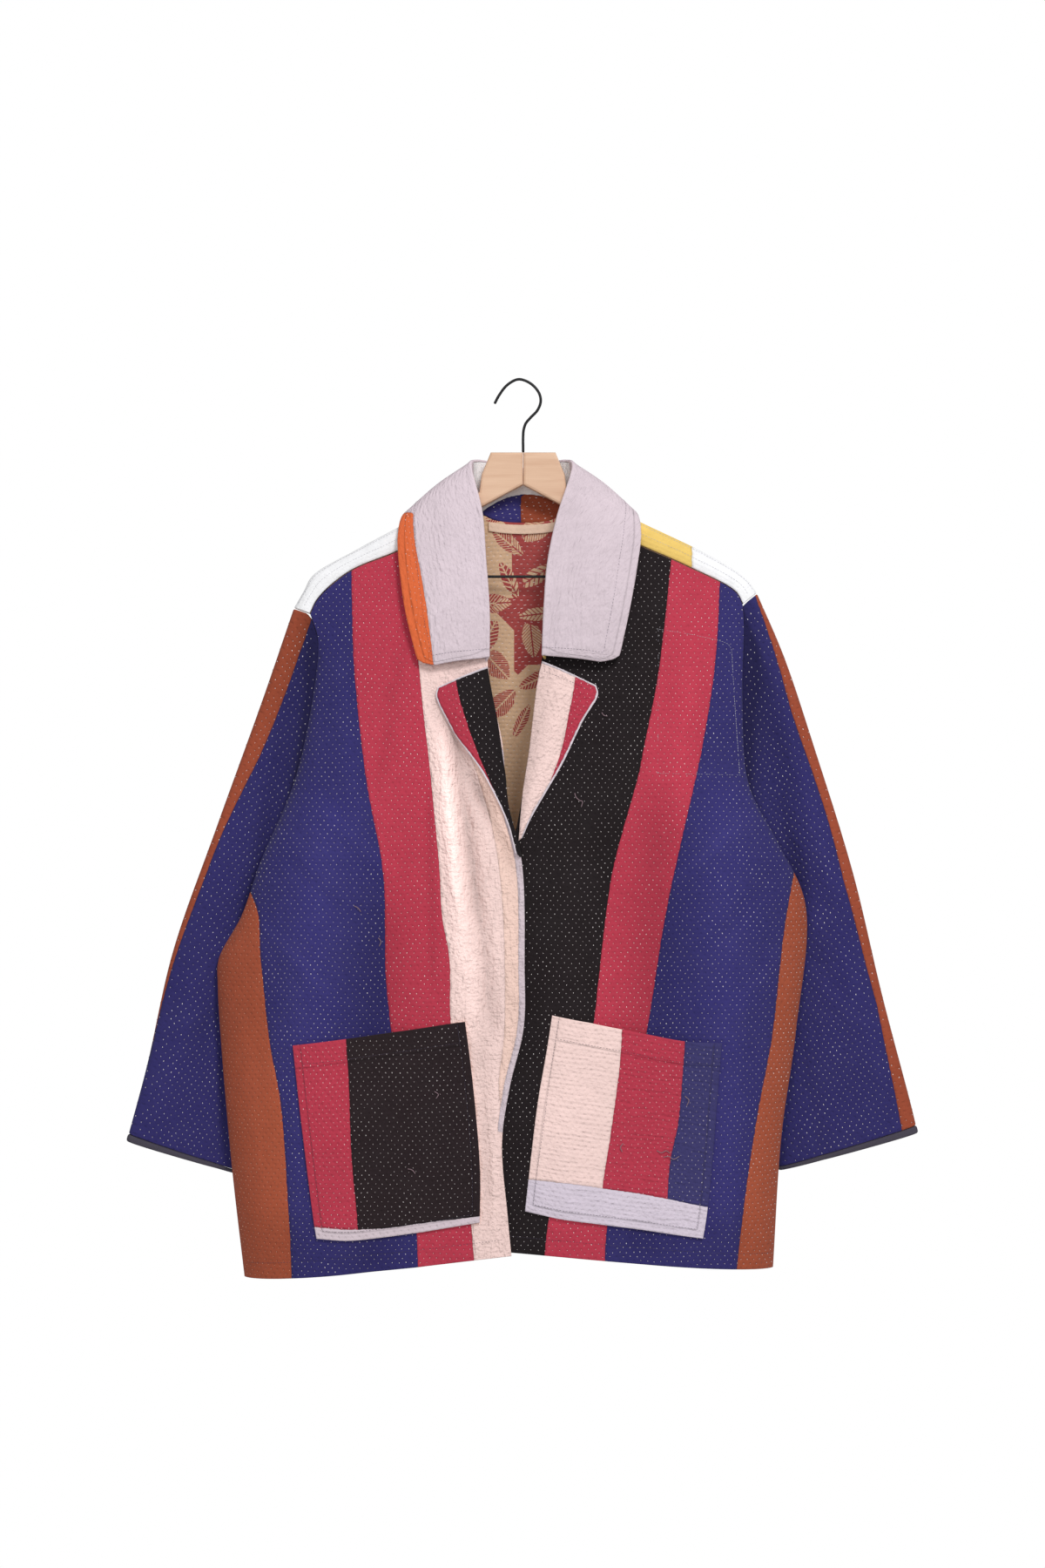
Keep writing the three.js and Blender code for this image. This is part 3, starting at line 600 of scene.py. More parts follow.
# Right front
# Strips of rust, blue, raspberry and pale pink cotton pieced lengthwise, quilted, and edged with
# a narrow lilac turning. It hangs from the shoulder strip and falls forward to its free edge.
FRONT_SIDE = 0.85
HALF_SHOULDER = 10
FRONT_REACH = 52
REACH_LENGTH = 250
PANEL_DROP = 820
RIGHT_SIDE = [
    (-297, -968), (-310, -856), (-322, -722), (-326, -655), (-325, -626), (-299, -578),
    (-280, -524), (-242, -434), (-222, -342), (-217, -282), (-226, -253),
]
RIGHT_UNDERARM = 4
RIGHT_EDGE = [
    (-8, -937), (-12, -895), (-18, -817), (-10, -759), (5, -695), (6, -631), (3, -520), (-12, -459),
    (-18, -392), (-30, -336), (-35, -288), (-38, -204), (-42, -144),
]
RIGHT_SEAM = [(-226, -253), (-217, -236), (-183, -207), (-133, -186), (-42, -144)]
FRONT_FOLDS = [
    ((-88, -370), (-48, -700), 16, 4), ((-60, -400), (-30, -690), 9, -3.5),
    ((-205, -420), (-250, -900), 34, 5), ((-150, -520), (-160, -960), 26, -4),
    ((60, -470), (45, -900), 26, 5), ((150, -420), (130, -930), 28, -4),
    ((215, -400), (225, -900), 30, 5),
]
# Small creases: the pink falls in upright wrinkles, the armholes drag, the pockets pull at their corners.
FRONT_CREASES = [
    ((-100, -326), (-36, -460), 8, -6.0), ((-54, -424), (-8, -520), 7, -4.0),
    ((-88, -345), (-66, -560), 7, 4.2), ((-74, -350), (-46, -580), 6, -4.6),
    ((-98, -400), (-94, -640), 5, -1.8), ((-66, -440), (-40, -640), 4, 1.3),
    ((-54, -470), (-30, -690), 3, -1.1), ((-80, -420), (-62, -620), 5, 1.2),
    ((-34, -520), (-14, -720), 3.5, 1.0), ((-44, -610), (-34, -880), 5, -1.2),
    ((-24, -660), (-26, -900), 4, 1.1), ((-236, -440), (-150, -520), 9, 1.6),
    ((-262, -500), (-200, -560), 8, -1.4), ((-290, -570), (-215, -650), 10, 1.6),
    ((-300, -640), (-270, -900), 9, 1.5), ((-250, -700), (-245, -960), 7, -1.2),
    ((-120, -240), (-150, -430), 9, -1.3), ((-200, -270), (-175, -480), 10, 1.4),
    ((-95, -700), (-110, -960), 8, 1.0), ((260, -460), (170, -540), 9, 1.7),
    ((280, -510), (215, -600), 9, -1.5), ((296, -590), (235, -680), 9, 1.5),
    ((190, -260), (165, -470), 10, 1.4), ((110, -240), (130, -430), 8, -1.2),
    ((60, -520), (75, -680), 7, -1.2), ((250, -620), (235, -930), 8, -1.3),
    ((150, -930), (140, -700), 9, 1.0), ((30, -560), (20, -880), 6, 1.2),
]


def front_sheet(side, underarm, edge, seam, reach):
    """A front: its flat outline as a blend of four edges, standing forward by an amount that grows
    with the drop from the shoulder and rounds off to the side seam, plus folds and creases."""
    low = (mix(side[0][0], edge[0][0], 0.35), mix(side[0][1], edge[0][1], 0.3))
    outline = coons(line([side[0], low, edge[0]]), line(seam), line(side), line(edge))
    armpit = length_to(side, underarm)

    def sheet(u, v):
        p = outline(u, v)
        forward = HALF_SHOULDER + reach * (1 - np.exp(-PANEL_DROP * (1 - v) / REACH_LENGTH))
        aside = mix(FRONT_SIDE, HALF_SHOULDER, smooth(armpit, armpit + 0.09, v))
        rounded = (1 - np.clip(1 - u, 0, 1) ** 5) ** 0.6
        rise = relief(FRONT_FOLDS, p[..., 0], p[..., 2]) + relief(FRONT_CREASES, p[..., 0], p[..., 2])
        p[..., 1] = -mix(aside, forward, rounded) - rise * np.clip(4 * u, 0, 1)
        return p

    return sheet


front_right = front_sheet(RIGHT_SIDE, RIGHT_UNDERARM, RIGHT_EDGE, RIGHT_SEAM, FRONT_REACH)
blue_line = beyond([
    (-330, -500), (-282, -566), (-276, -620), (-266, -710), (-254, -774), (-245, -895), (-242, -970),
])
red_line = beyond([
    (-183, -150), (-181, -208), (-177, -312), (-163, -434), (-145, -532), (-142, -641), (-136, -699),
    (-109, -913), (-108, -980),
])
pink_line = beyond([
    (-120, -120), (-113, -195), (-107, -316), (-93, -440), (-85, -524), (-82, -576), (-74, -623),
    (-73, -687), (-51, -906), (-45, -980),
])
peach_line = beyond([
    (-60, -380), (-36, -455), (-20, -540), (-16, -700), (-22, -760), (-8, -830), (20, -980),
])
TURNING = 7
LAPEL_MIDDLE = -400
LILAC_FOOT = -806
edge_line = beyond([(x - TURNING, z) for x, z in RIGHT_EDGE[2:]] + [(60, -100)])


def lilac_part(p, u, v):
    """The lilac turning follows the front edge from under the lapel to its foot, short of the hem."""
    foot = (p[..., 2] - LILAC_FOOT) * 0.4
    return np.minimum(edge_line(p, u, v), np.minimum(foot, LAPEL_MIDDLE - p[..., 2]))


def peach_part(p, u, v):
    return np.minimum(peach_line(p, u, v), LAPEL_MIDDLE - p[..., 2])


def front_fold_shade(p, u, v):
    """Height of the folds and creases, for painted shade and highlight: troughs are darkened, ridges
    lightened.
    """
    return relief(FRONT_FOLDS, p[..., 0], p[..., 2]) + relief(FRONT_CREASES, p[..., 0], p[..., 2])


right_cloth = cloth("right front cloth", RUST, [
    ("blue", BLUE), ("red", RED), ("pink", PINK), ("peach", PEACH), ("lilac", LILAC),
], ripple=0.2, puckers=1.0, puckered="pink")
shell(
    "front_right_cloth", "front_right", front_right, right_cloth, lining,
    inset=(0.002, 0.0012, 0, 0.0007), plan=panel_plan(-110),
    seams={
        "fold": front_fold_shade, "blue": blue_line, "red": red_line, "pink": pink_line, "peach": peach_part,
        "lilac": lilac_part,
    },
)


def dark_part(p):
    """Where the right front is stitched in white: between its rust strip and its pink one."""
    return (pink_line(p, 0, 0) < -1.5) & (blue_line(p, 0, 0) > -1.5)


quilting("front_right_stitches", front_right, white_yarn, dark_part, seed=11, plan=panel_plan(-110))
quilting(
    "front_right_strip_stitches", front_right, rust_yarn, lambda p: blue_line(p, 0, 0) < -1.5, seed=16,
    plan=panel_plan(-110),
)
HEM = 0.023
HEM_LINE = [(0.02, HEM), (0.5, HEM), (0.98, HEM)]
topstitch("front_right_hem_stitches", front_right, HEM_LINE, dark_yarn)

# Left front
# Strips of black, raspberry, blue and rust cotton. It passes under the right front at the middle.
UNDERLAP = 7
LEFT_SIDE = [
    (274, -958), (283, -818), (299, -702), (309, -567), (278, -500), (247, -438), (240, -344), (242, -268),
    (241, -243),
]
LEFT_UNDERARM = 3
LEFT_EDGE = [
    (-14, -934), (-22, -890), (-26, -808), (-24, -715), (-20, -622), (-12, -529), (0, -464), (10, -402),
    (19, -327), (26, -288), (32, -204), (47, -142),
]
LEFT_SEAM = [(241, -243), (233, -229), (182, -202), (127, -178), (47, -142)]
front_left = front_sheet(LEFT_SIDE, LEFT_UNDERARM, LEFT_EDGE, LEFT_SEAM, FRONT_REACH - UNDERLAP)
left_cloth = cloth("left front cloth", BLACK, [("red", RED), ("blue", BLUE), ("rust", RUST)], ripple=0.15)
shell(
    "front_left_cloth", "front_left", front_left, left_cloth, lining, flip=True,
    inset=(0.002, 0.0012, 0, 0.0007), plan=panel_plan(110),
    seams={
        "fold": front_fold_shade,
        "red": beyond([
            (171, -120), (167, -158), (163, -199), (149, -317), (135, -388), (127, -427), (114, -473),
            (99, -530), (84, -644), (79, -689), (31, -900), (24, -980),
        ]),
        "blue": beyond([
            (222, -120), (219, -158), (216, -221), (210, -307), (196, -395), (178, -475), (156, -576),
            (135, -703), (93, -908), (91, -980),
        ]),
        "rust": beyond([
            (330, -420), (305, -492), (294, -536), (284, -589), (270, -708), (255, -786), (241, -876),
            (229, -980),
        ]),
    },
)
quilting(
    "front_left_stitches", front_left, white_yarn, lambda p: p[..., 0] > -30, seed=12, flip=True,
    plan=panel_plan(110),
)
topstitch("front_left_hem_stitches", front_left, HEM_LINE, dark_yarn, flip=True)

# Back
# One broad panel of blue cotton. Inside, its upper part is lined with a cotton block-printed with
# leaves in beige on dusty red, and its lower part with plain beige.
BACK_SIDE = 1.15
BACK_REACH = 17
NECK_STAND = 7
NECK_SPREAD = 40
BACK_NECK = [(-42, -144), (-28, -149), (3, -151.5), (34, -149), (47, -142)]
BACK_FOLDS = [
    ((-190, -300), (-230, -940), 36, 6), ((-90, -330), (-100, -940), 30, -5),
    ((20, -260), (10, -940), 38, 5), ((120, -330), (130, -940), 30, -5),
    ((195, -300), (215, -930), 34, 6),
]
BACK_CREASES = [
    ((-240, -440), (-120, -520), 10, 1.7), ((-280, -560), (-190, -640), 10, 1.6),
    ((-160, -240), (-60, -330), 11, -1.5), ((150, -240), (60, -340), 11, -1.4),
    ((255, -450), (140, -530), 10, 1.7), ((285, -580), (205, -660), 10, 1.5),
    ((-60, -520), (-80, -900), 9, 1.3), ((70, -560), (60, -920), 9, -1.3),
]
back_outline = coons(
    line([RIGHT_SIDE[0], (-12, -948), LEFT_SIDE[0]]), line(RIGHT_SEAM[:-1] + BACK_NECK + LEFT_SEAM[-2::-1]),
    line(RIGHT_SIDE), line(LEFT_SIDE),
)
right_armpit, left_armpit = length_to(RIGHT_SIDE, RIGHT_UNDERARM), length_to(LEFT_SIDE, LEFT_UNDERARM)


def back_sheet(u, v):
    """The back: a blend of its four edges, standing behind the shoulder line by an amount that
    grows with the drop, rounding off to both side seams, plus folds and creases."""
    p = back_outline(u, v)
    x, z = p[..., 0], p[..., 2]
    armpit = mix(right_armpit, left_armpit, u)
    neck = NECK_STAND * np.exp(-(((x - 3) / NECK_SPREAD) ** 2)) * smooth(0.7, 1, v)
    behind = HALF_SHOULDER + neck + BACK_REACH * (1 - np.exp(-PANEL_DROP * (1 - v) / REACH_LENGTH))
    aside = mix(BACK_SIDE, HALF_SHOULDER, smooth(armpit, armpit + 0.09, v))
    inward = 2 * np.clip(np.minimum(u, 1 - u), 0, 1)
    rounded = (1 - (1 - inward) ** 5) ** 0.6
    rise = relief(BACK_FOLDS, x, z) + relief(BACK_CREASES, x, z)
    p[..., 1] = mix(aside, behind, rounded) + rise * np.clip(4 * inward, 0, 1)
    return p


LEAF_HALF = 0.023
LOWEST_PRINT = -0.387


def print_layers(material, ground, leaf):
    """Adds a block print to a cloth, down to a height. Each block is a patch of one Voronoi cell with
    one leaf, turned at random: a lens with a rib and slanting veins. In square blocks of a coarser
    pattern ground and leaf change places."""
    tree = material.node_tree
    place = put(tree, "TexCoord").outputs["Object"]
    rough = put(tree, "TexNoise", place, named={"Scale": 160.0, "Detail": 3.0}).outputs[0]
    x, _, z = put(tree, "SeparateXYZ", place).outputs[:3]
    flat = put(tree, "CombineXYZ", x, z, 0.0).outputs[0]
    cell = put(tree, "TexVoronoi", flat, named={"Scale": 27.0, "Randomness": 0.75}, voronoi_dimensions="2D")
    from_middle = put(tree, "VectorMath", flat, cell.outputs["Position"], operation="SUBTRACT").outputs[0]
    chance = put(tree, "SeparateXYZ", cell.outputs["Color"]).outputs
    turned = put(tree, "VectorRotate", named={
        "Vector": from_middle, "Angle": calc(tree, "MULTIPLY", chance[0], 6.3),
    }, rotation_type="Z_AXIS").outputs[0]
    a, b, _ = put(tree, "SeparateXYZ", turned).outputs[:3]
    a = calc(tree, "ABSOLUTE", a)
    taper = calc(tree, "SUBTRACT", 1.0, calc(tree, "POWER", calc(tree, "DIVIDE", b, LEAF_HALF), 2.0))
    wide = calc(tree, "MULTIPLY", taper, calc(tree, "MULTIPLY_ADD", chance[1], 0.008, 0.005))
    wide = calc(tree, "MULTIPLY_ADD", rough, 0.003, calc(tree, "SUBTRACT", wide, 0.0015))
    inside = calc(tree, "LESS_THAN", a, wide)
    slant = calc(tree, "MULTIPLY_ADD", a, -0.9, b)
    closeness = calc(tree, "MULTIPLY_ADD", chance[2], 1500.0, 900.0)
    veins = calc(tree, "SINE", calc(tree, "MULTIPLY", slant, closeness))
    solid = calc(tree, "LESS_THAN", veins, calc(tree, "MULTIPLY_ADD", rough, 0.8, 0.2))
    rib = calc(tree, "GREATER_THAN", a, 0.0008)
    leafy = calc(tree, "MULTIPLY", inside, calc(tree, "MULTIPLY", solid, rib))
    blocks = put(
        tree, "TexVoronoi", flat, named={"Scale": 13.0, "Randomness": 0.7},
        voronoi_dimensions="2D", distance="CHEBYCHEV",
    )
    swap = calc(tree, "GREATER_THAN", put(tree, "SeparateXYZ", blocks.outputs["Color"]).outputs[2], 0.6)
    leafy = calc(tree, "ABSOLUTE", calc(tree, "SUBTRACT", leafy, swap))
    printed = calc(tree, "GREATER_THAN", calc(tree, "MULTIPLY_ADD", rough, 0.004, z), LOWEST_PRINT)
    shown = put(tree, "MixRGB", leafy, ground, leaf).outputs[0]
    shown = put(tree, "MixRGB", printed, leaf, shown).outputs[0]
    base = next(n for n in tree.nodes if n.type == "RGB")
    for link in list(base.outputs[0].links):
        tree.links.new(shown, link.to_socket)


back_lining = cloth("block-printed lining", BEIGE, quilt=0.7, ripple=0.35)
print_layers(back_lining, colour(160, 70, 68), colour(206, 172, 140))
back_cloth = cloth("blue back cloth", BLUE)
shell(
    "back_cloth", "back", back_sheet, back_cloth, back_lining, spacing=(4.2, 4.2),
    flip=True, inset=(0.0014, 0.0014, 0, 0.0007), plan=panel_plan(3),
    # The fold attribute paints shade in the troughs and highlight on the ridges of the back's folds.
    seams={"fold": lambda p, u, v: relief(BACK_FOLDS + BACK_CREASES, p[..., 0], p[..., 2])},
)


def seen_lining(p):
    """The part of the lining that shows between the lapels."""
    return (np.abs(p[..., 0] - 3) < 75) & (p[..., 2] < -166) & (p[..., 2] > -520)


quilting("back_stitches", back_sheet, white_yarn, everywhere, seed=13, flip=True, plan=panel_plan(3))
quilting(
    "back_lining_stitches", back_sheet, white_yarn, seen_lining, seed=14, plan=panel_plan(3), run=(1, 0, 0),
    size=(2.8, 0.8, 0.35),
)

# Shoulder strips
# A narrow white strip over each shoulder, topstitched along both seams; the left one starts yellow.
RIGHT_RIDGE = [(-243, -247), (-232, -228), (-223, -212), (-174, -183), (-90, -138), (-47, -112)]
LEFT_RIDGE = [(256, -231), (246, -217), (232, -206), (195, -185), (128, -153), (99, -138), (54, -112)]


def strip_sheet(seam, ridge):
    """An arch over the board: straight from the seam to the ridge, front seam to back seam."""
    low, high = line(seam), line(ridge)

    def sheet(u, v):
        arch = (np.sin(np.pi * np.clip(v, 0, 1)) ** 0.55)[..., None]
        p = low(u) * (1 - arch) + high(u) * arch
        p[..., 1] = -HALF_SHOULDER * np.cos(np.pi * v)
        return p

    return sheet


strip_right, strip_left = strip_sheet(RIGHT_SEAM, RIGHT_RIDGE), strip_sheet(LEFT_SEAM, LEFT_RIDGE)
white_cloth = cloth("white shoulder cloth", colour(246, 246, 248), [("yellow", colour(238, 202, 112))],
                    quilt=0.3, ripple=0.3)


YELLOW_END = 186


def no_seam(p, u, v):
    return np.full(u.shape, -12.0)


for side, sheet, yellow in (
    ("right", strip_right, no_seam), ("left", strip_left, lambda p, u, v: YELLOW_END - p[..., 0]),
):
    shell(f"shoulder_strip_{side}_cloth", f"shoulder_strip_{side}", sheet, white_cloth,
          lining, spacing=(3, 2.5), inset=(0.003, 0.003, 0.0005, 0.0005), seams={"yellow": yellow},
          flip=side == "left")
    for k, v in enumerate((0.1, 0.3, 0.7, 0.9)):
        topstitch(
            f"shoulder_strip_{side}_topstitch_{k + 1}", sheet, [(0.02, v), (0.98, v)], grey_yarn,
            flip=side == "left", seed=40 + k,
        )

# Sleeves
# Wide straight sleeves of blue cotton with a rust strip down the outer fold, set in flat.
SLEEVE_HALF = 15
SLEEVE_BEHIND = 32
HEAD = 0.09
DRAWN_IN = 0.45
RIGHT_SLEEVE_OUT = [(-243, -247), (-274, -337), (-327, -484), (-374, -618), (-402, -741), (-424, -823)]
RIGHT_SLEEVE_IN = [(-325, -626), (-306, -700), (-292, -790), (-283, -868)]
LEFT_SLEEVE_OUT = [
    (256, -231), (286, -301), (320, -403), (360, -533), (392, -667), (422, -781), (430, -814),
]
LEFT_SLEEVE_IN = [(309, -567), (289, -625), (277, -720), (279, -810), (285, -858)]
SLEEVE_CREASES = [
    ((-234, -262), (-292, -590), 17, -8), ((-262, -400), (-318, -640), 12, 3),
    ((252, -250), (304, -560), 17, -8), ((286, -400), (318, -600), 12, 3),
    ((-300, -440), (-345, -560), 10, 1.8), ((-290, -520), (-340, -720), 12, -2.0),
    ((-335, -600), (-390, -790), 12, 1.8), ((-300, -640), (-360, -700), 8, 1.4),
    ((-310, -700), (-330, -860), 9, -1.5), ((-275, -400), (-305, -470), 7, -1.4),
    ((300, -420), (345, -560), 10, 1.8), ((290, -470), (320, -640), 12, -1.9),
    ((330, -560), (395, -760), 12, 1.8), ((295, -620), (360, -690), 8, 1.4),
    ((300, -690), (330, -850), 9, -1.5), ((272, -360), (300, -450), 7, -1.4),
]


def sleeve_sheet(outer, inner, side, underarm, strip):
    """Flat oval rings from the armhole seam to the cuff; the first rings are drawn to the seam."""
    out, low, seam = line(outer), line(inner), line(side)
    armpit = length_to(side, underarm)

    def armhole(angle):
        half = np.where(angle < 0.5, 2 * angle, 2 - 2 * angle)
        facing = np.where(angle < 0.5, -1, 1)
        head = strip(np.zeros_like(angle), 0.5 + facing * 0.5 * np.clip(half / HEAD, 0, 1))
        at = mix(1, armpit, np.clip((half - HEAD) / (1 - HEAD), 0, 1))
        down = seam(at)
        down[..., 1] = facing * HALF_SHOULDER * smooth(armpit, armpit + 0.09, at)
        return np.where((half < HEAD)[..., None], head, down)

    def ring(angle, s):
        a, b = out(s), low(s)
        turn = 2 * np.pi * angle
        p = (a + b) / 2 + (a - b) * 0.5 * np.cos(turn)[..., None]
        depth = mix(HALF_SHOULDER, SLEEVE_HALF, smooth(0, 0.4, s))
        bulge = np.sign(np.sin(turn)) * np.abs(np.sin(turn)) ** 0.75
        inwards = 0.5 - 0.5 * np.cos(turn)
        p[..., 1] = -depth * bulge + mix(3, SLEEVE_BEHIND, inwards) * smooth(0, 0.25, s)
        return p

    def sheet(angle, s):
        angle = angle % 1
        p = ring(angle, s)
        fade = 1 - smooth(0, DRAWN_IN, s)
        p += (armhole(angle) - ring(angle, np.zeros_like(s))) * fade[..., None]
        crease = relief(SLEEVE_CREASES, p[..., 0], p[..., 2]) * smooth(0, 0.12, s)
        crease *= np.sin(2 * np.pi * angle) ** 2
        p[..., 1] -= crease * np.where(angle < 0.5, 1, -0.3)
        return p

    return sheet


ARMHOLE_SHADE_WIDTH = 46
ARMHOLE_SHADE_STRENGTH = 17


def sleeve_fold_shade(p, u, v):
    """Height of the sleeve's creases, for painted shade and highlight, and a painted shade where the sleeve
    drops behind the armhole seam.
    """
    seam = np.linalg.norm(p - p[:1], axis=-1)
    armhole_shade = smooth(0.03, 0.16, 2 * np.minimum(u, 1 - u)) * np.exp(-((seam / ARMHOLE_SHADE_WIDTH) ** 2))
    return relief(SLEEVE_CREASES, p[..., 0], p[..., 2]) * 0.5 - ARMHOLE_SHADE_STRENGTH * armhole_shade


def sleeve_plan(outer, inner):
    """Cloth coordinates of a sleeve: along, across it and on round its two folds; up, along it."""
    top, end = (np.array(outer[k]) + np.array(inner[k]) for k in (0, -1))
    axis = (top - end) / np.linalg.norm(top - end)
    outward = np.array([-axis[1], axis[0]]) * np.sign(outer[0][0])

    def plan(p, u, v):
        turn = 2 * np.pi * u
        round_it = SLEEVE_HALF * np.sign(np.cos(turn)) * (1 - np.abs(np.sin(turn)) ** 0.75)
        return p[..., ::2] @ outward + round_it, p[..., ::2] @ axis

    return plan, (axis[0], 0, axis[1])


# The binding covers a share of the sleeve's length and adds to its wall; the strip is 42 mm wide.
CUFF = 0.013
BINDING_WALL = 1.4
STRIP = 42
sleeve_cloth = cloth("sleeve cloth", BLUE, [("rust", colour(158, 75, 50))])
binding_cloth = cloth("charcoal binding", colour(74, 70, 82), quilt=0.3)


def outer_strip(reaches):
    """Signed distance inside a strip round the outer fold that winds slowly to the back of the arm.

    reaches are how far its front edge comes round the fold, at even steps from shoulder to cuff.
    """

    def distance(p, angle, s):
        across = np.hypot(p[..., 0] - p[:, :1, 0], p[..., 2] - p[:, :1, 2]) * np.where(angle < 0.5, 1, -1)
        edge = np.interp(s, np.linspace(0, 1, len(reaches)), reaches)
        return np.minimum(edge - across, across - edge + STRIP)

    return distance


RIGHT_SLEEVE = (RIGHT_SLEEVE_OUT, RIGHT_SLEEVE_IN, RIGHT_SIDE, RIGHT_UNDERARM, strip_right)
LEFT_SLEEVE = (LEFT_SLEEVE_OUT, LEFT_SLEEVE_IN, LEFT_SIDE, LEFT_UNDERARM, strip_left)
for side, flip, outline, reaches in (
    ("right", True, RIGHT_SLEEVE, (22, 22, 12, 2, -3)), ("left", False, LEFT_SLEEVE, (3, 15, 19, 9, 16)),
):
    sheet = sleeve_sheet(*outline)
    strip = outer_strip(reaches)
    plan, axis = sleeve_plan(*outline[:2])
    # The fold attribute paints shade and highlight on the creases and a painted shade beside the armhole
    # seam.
    shell(f"sleeve_{side}_cloth", f"sleeve_{side}", sheet, sleeve_cloth, lining,
          spacing=(3.6, 4.0), tube=True, inset=(0, 0, 0.0008, CUFF + 0.001), flip=flip, plan=plan,
          seams={"rust": strip, "fold": sleeve_fold_shade})
    quilting(f"sleeve_{side}_stitches", sheet, white_yarn, everywhere, seed=15, flip=flip, margin=9,
             size=(1.4, 0.92, 0.38), plan=plan, run=axis, tube=True)
    shell(f"cuff_binding_{side}_cloth", f"cuff_binding_{side}", sheet, binding_cloth,
          binding_cloth, spacing=(3.6, 1.5), wall=WALL + BINDING_WALL, tube=True,
          inset=(0, 0, 1 - CUFF, 0), flip=flip, turned=6)

# Collar
# A notched collar cut in one band: it stands up from the neck seam, folds over at the roll line and
# falls to its edge. Lilac cotton, with an orange strip down the right fall; the inside of the stand
# is pieced from white, blue and brown. Its edges are topstitched.
COLLAR = [
    ((-37, -31, -309), (-33, -43, -301), (-107, -42, -313)),
    ((-39, -24, -250), (-33, -39, -250), (-122, -35, -253)),
    ((-42, -17, -196), (-37, -31, -194), (-129, -26, -205)),
    ((-43, -11, -148), (-41, -21, -144), (-131, -17, -168)),
    ((-51, 0, -107), (-53, -3, -91), (-126, -1, -146)),
    ((-45, 12, -137), (-47, 14, -85), (-112, 19, -142)),
    ((-27, 15, -149.5), (-28, 26, -86), (-76, 36, -168)), ((3, 17, -152), (3, 30, -92), (3, 40, -184)),
    ((34, 15, -149.5), (34, 26, -86), (82, 36, -168)), ((49, 12, -135), (50, 14, -85), (112, 19, -140)),
    ((59, 0, -107), (58, -3, -91), (127, -1, -144)), ((47, -11, -146), (41, -21, -150), (131, -17, -166)),
    ((37, -16, -197), (31, -31, -199), (127, -26, -200)),
    ((31, -22, -250), (27, -39, -250), (118, -35, -250)),
    ((28, -29, -305), (25, -43, -299), (105, -42, -309)),
]
FOLD = 5
FALL_BULGE = 3.5
NECK_CENTRE = np.array([3, 4, 0])
CORNER = 0.014
CORNER_CUT = 0.09
COLLAR_CREASES = [
    ((-60, -120), (-95, -240), 9, 1.2), ((-50, -150), (-62, -300), 8, 1.0),
    ((-90, -170), (-112, -290), 8, -1.0), ((60, -120), (95, -230), 9, 1.1),
    ((50, -160), (58, -300), 8, -0.9), ((92, -180), (100, -300), 9, 1.0),
    ((-40, -290), (-110, -296), 6, 1.0), ((30, -286), (105, -292), 6, 1.0),
]


def collar_sheet(u, v):
    """Each section runs from the neck seam up the stand, over the fold and down the bulging fall."""
    stations = np.array(COLLAR, float)
    v = v * (1 - CORNER_CUT * (1 - np.clip(np.minimum(u, 1 - u) / CORNER, 0, 1)) ** 2.2)
    neck, roll, outer = (through(stations[:, k], u.ravel()) for k in range(3))
    away = (roll - NECK_CENTRE) * (1, 1, 0)
    away /= np.linalg.norm(away, axis=1, keepdims=True)
    before = roll + FOLD * (neck - roll) / np.linalg.norm(neck - roll, axis=1, keepdims=True)
    after = roll + FOLD * (outer - roll) / np.linalg.norm(outer - roll, axis=1, keepdims=True)
    middle = mix(roll, outer, 0.45) + away * FALL_BULGE + (0, 0, FALL_BULGE / 4)
    p = through(np.stack([neck, before, roll, after, middle, outer], axis=1), v.ravel()).reshape(*u.shape, 3)
    p[..., 1] -= relief(COLLAR_CREASES, p[..., 0], p[..., 2]) * smooth(0.35, 0.6, v) * (p[..., 1] < 0)
    return p


def orange_part(p, u, v):
    seam = beyond([
        (-114, -100), (-114, -146), (-113, -170), (-108, -198), (-101, -236), (-95, -279), (-91, -313),
    ], -1)
    here = (p[..., 0] < 0) & (p[..., 1] < 0) & (v > 0.5)
    return np.where(here, np.minimum(seam(p, u, v), (-144 - p[..., 2]) * 0.7), -12)


def white_part(p, u, v):
    return np.where(p[..., 1] > 5, (0.3 - v) * 80, -12)


def stand_part(p, u, v):
    top = -121 - 9 * ((p[..., 0] - 8) / 33) ** 2
    return np.where((p[..., 1] > 5) & (v < 0.3), top - p[..., 2], -12)


def brown_part(p, u, v):
    return np.minimum(stand_part(p, u, v), p[..., 0] - 1.4)


def yellow_part(p, u, v):
    within = np.minimum(-252 - p[..., 2], p[..., 2] + 303)
    return np.where((p[..., 0] > 0) & (p[..., 1] < 0), np.minimum(within, (0.34 - v) * 80), -12)


def border(width, *sides):
    """Signed distance inside a band of that width along some edges of a piece: left or low, each
    measured along the cloth, or their opposites right and high."""

    def distance(p, u, v):
        along = np.cumsum(np.linalg.norm(np.diff(p, axis=1, prepend=p[:, :1]), axis=-1), axis=1)
        up = np.cumsum(np.linalg.norm(np.diff(p, axis=0, prepend=p[:1]), axis=-1), axis=0)
        near = {"left": along, "right": along[:, -1:] - along, "low": up, "high": up[-1:] - up}
        return width - np.minimum.reduce([near[s] for s in sides])

    return distance


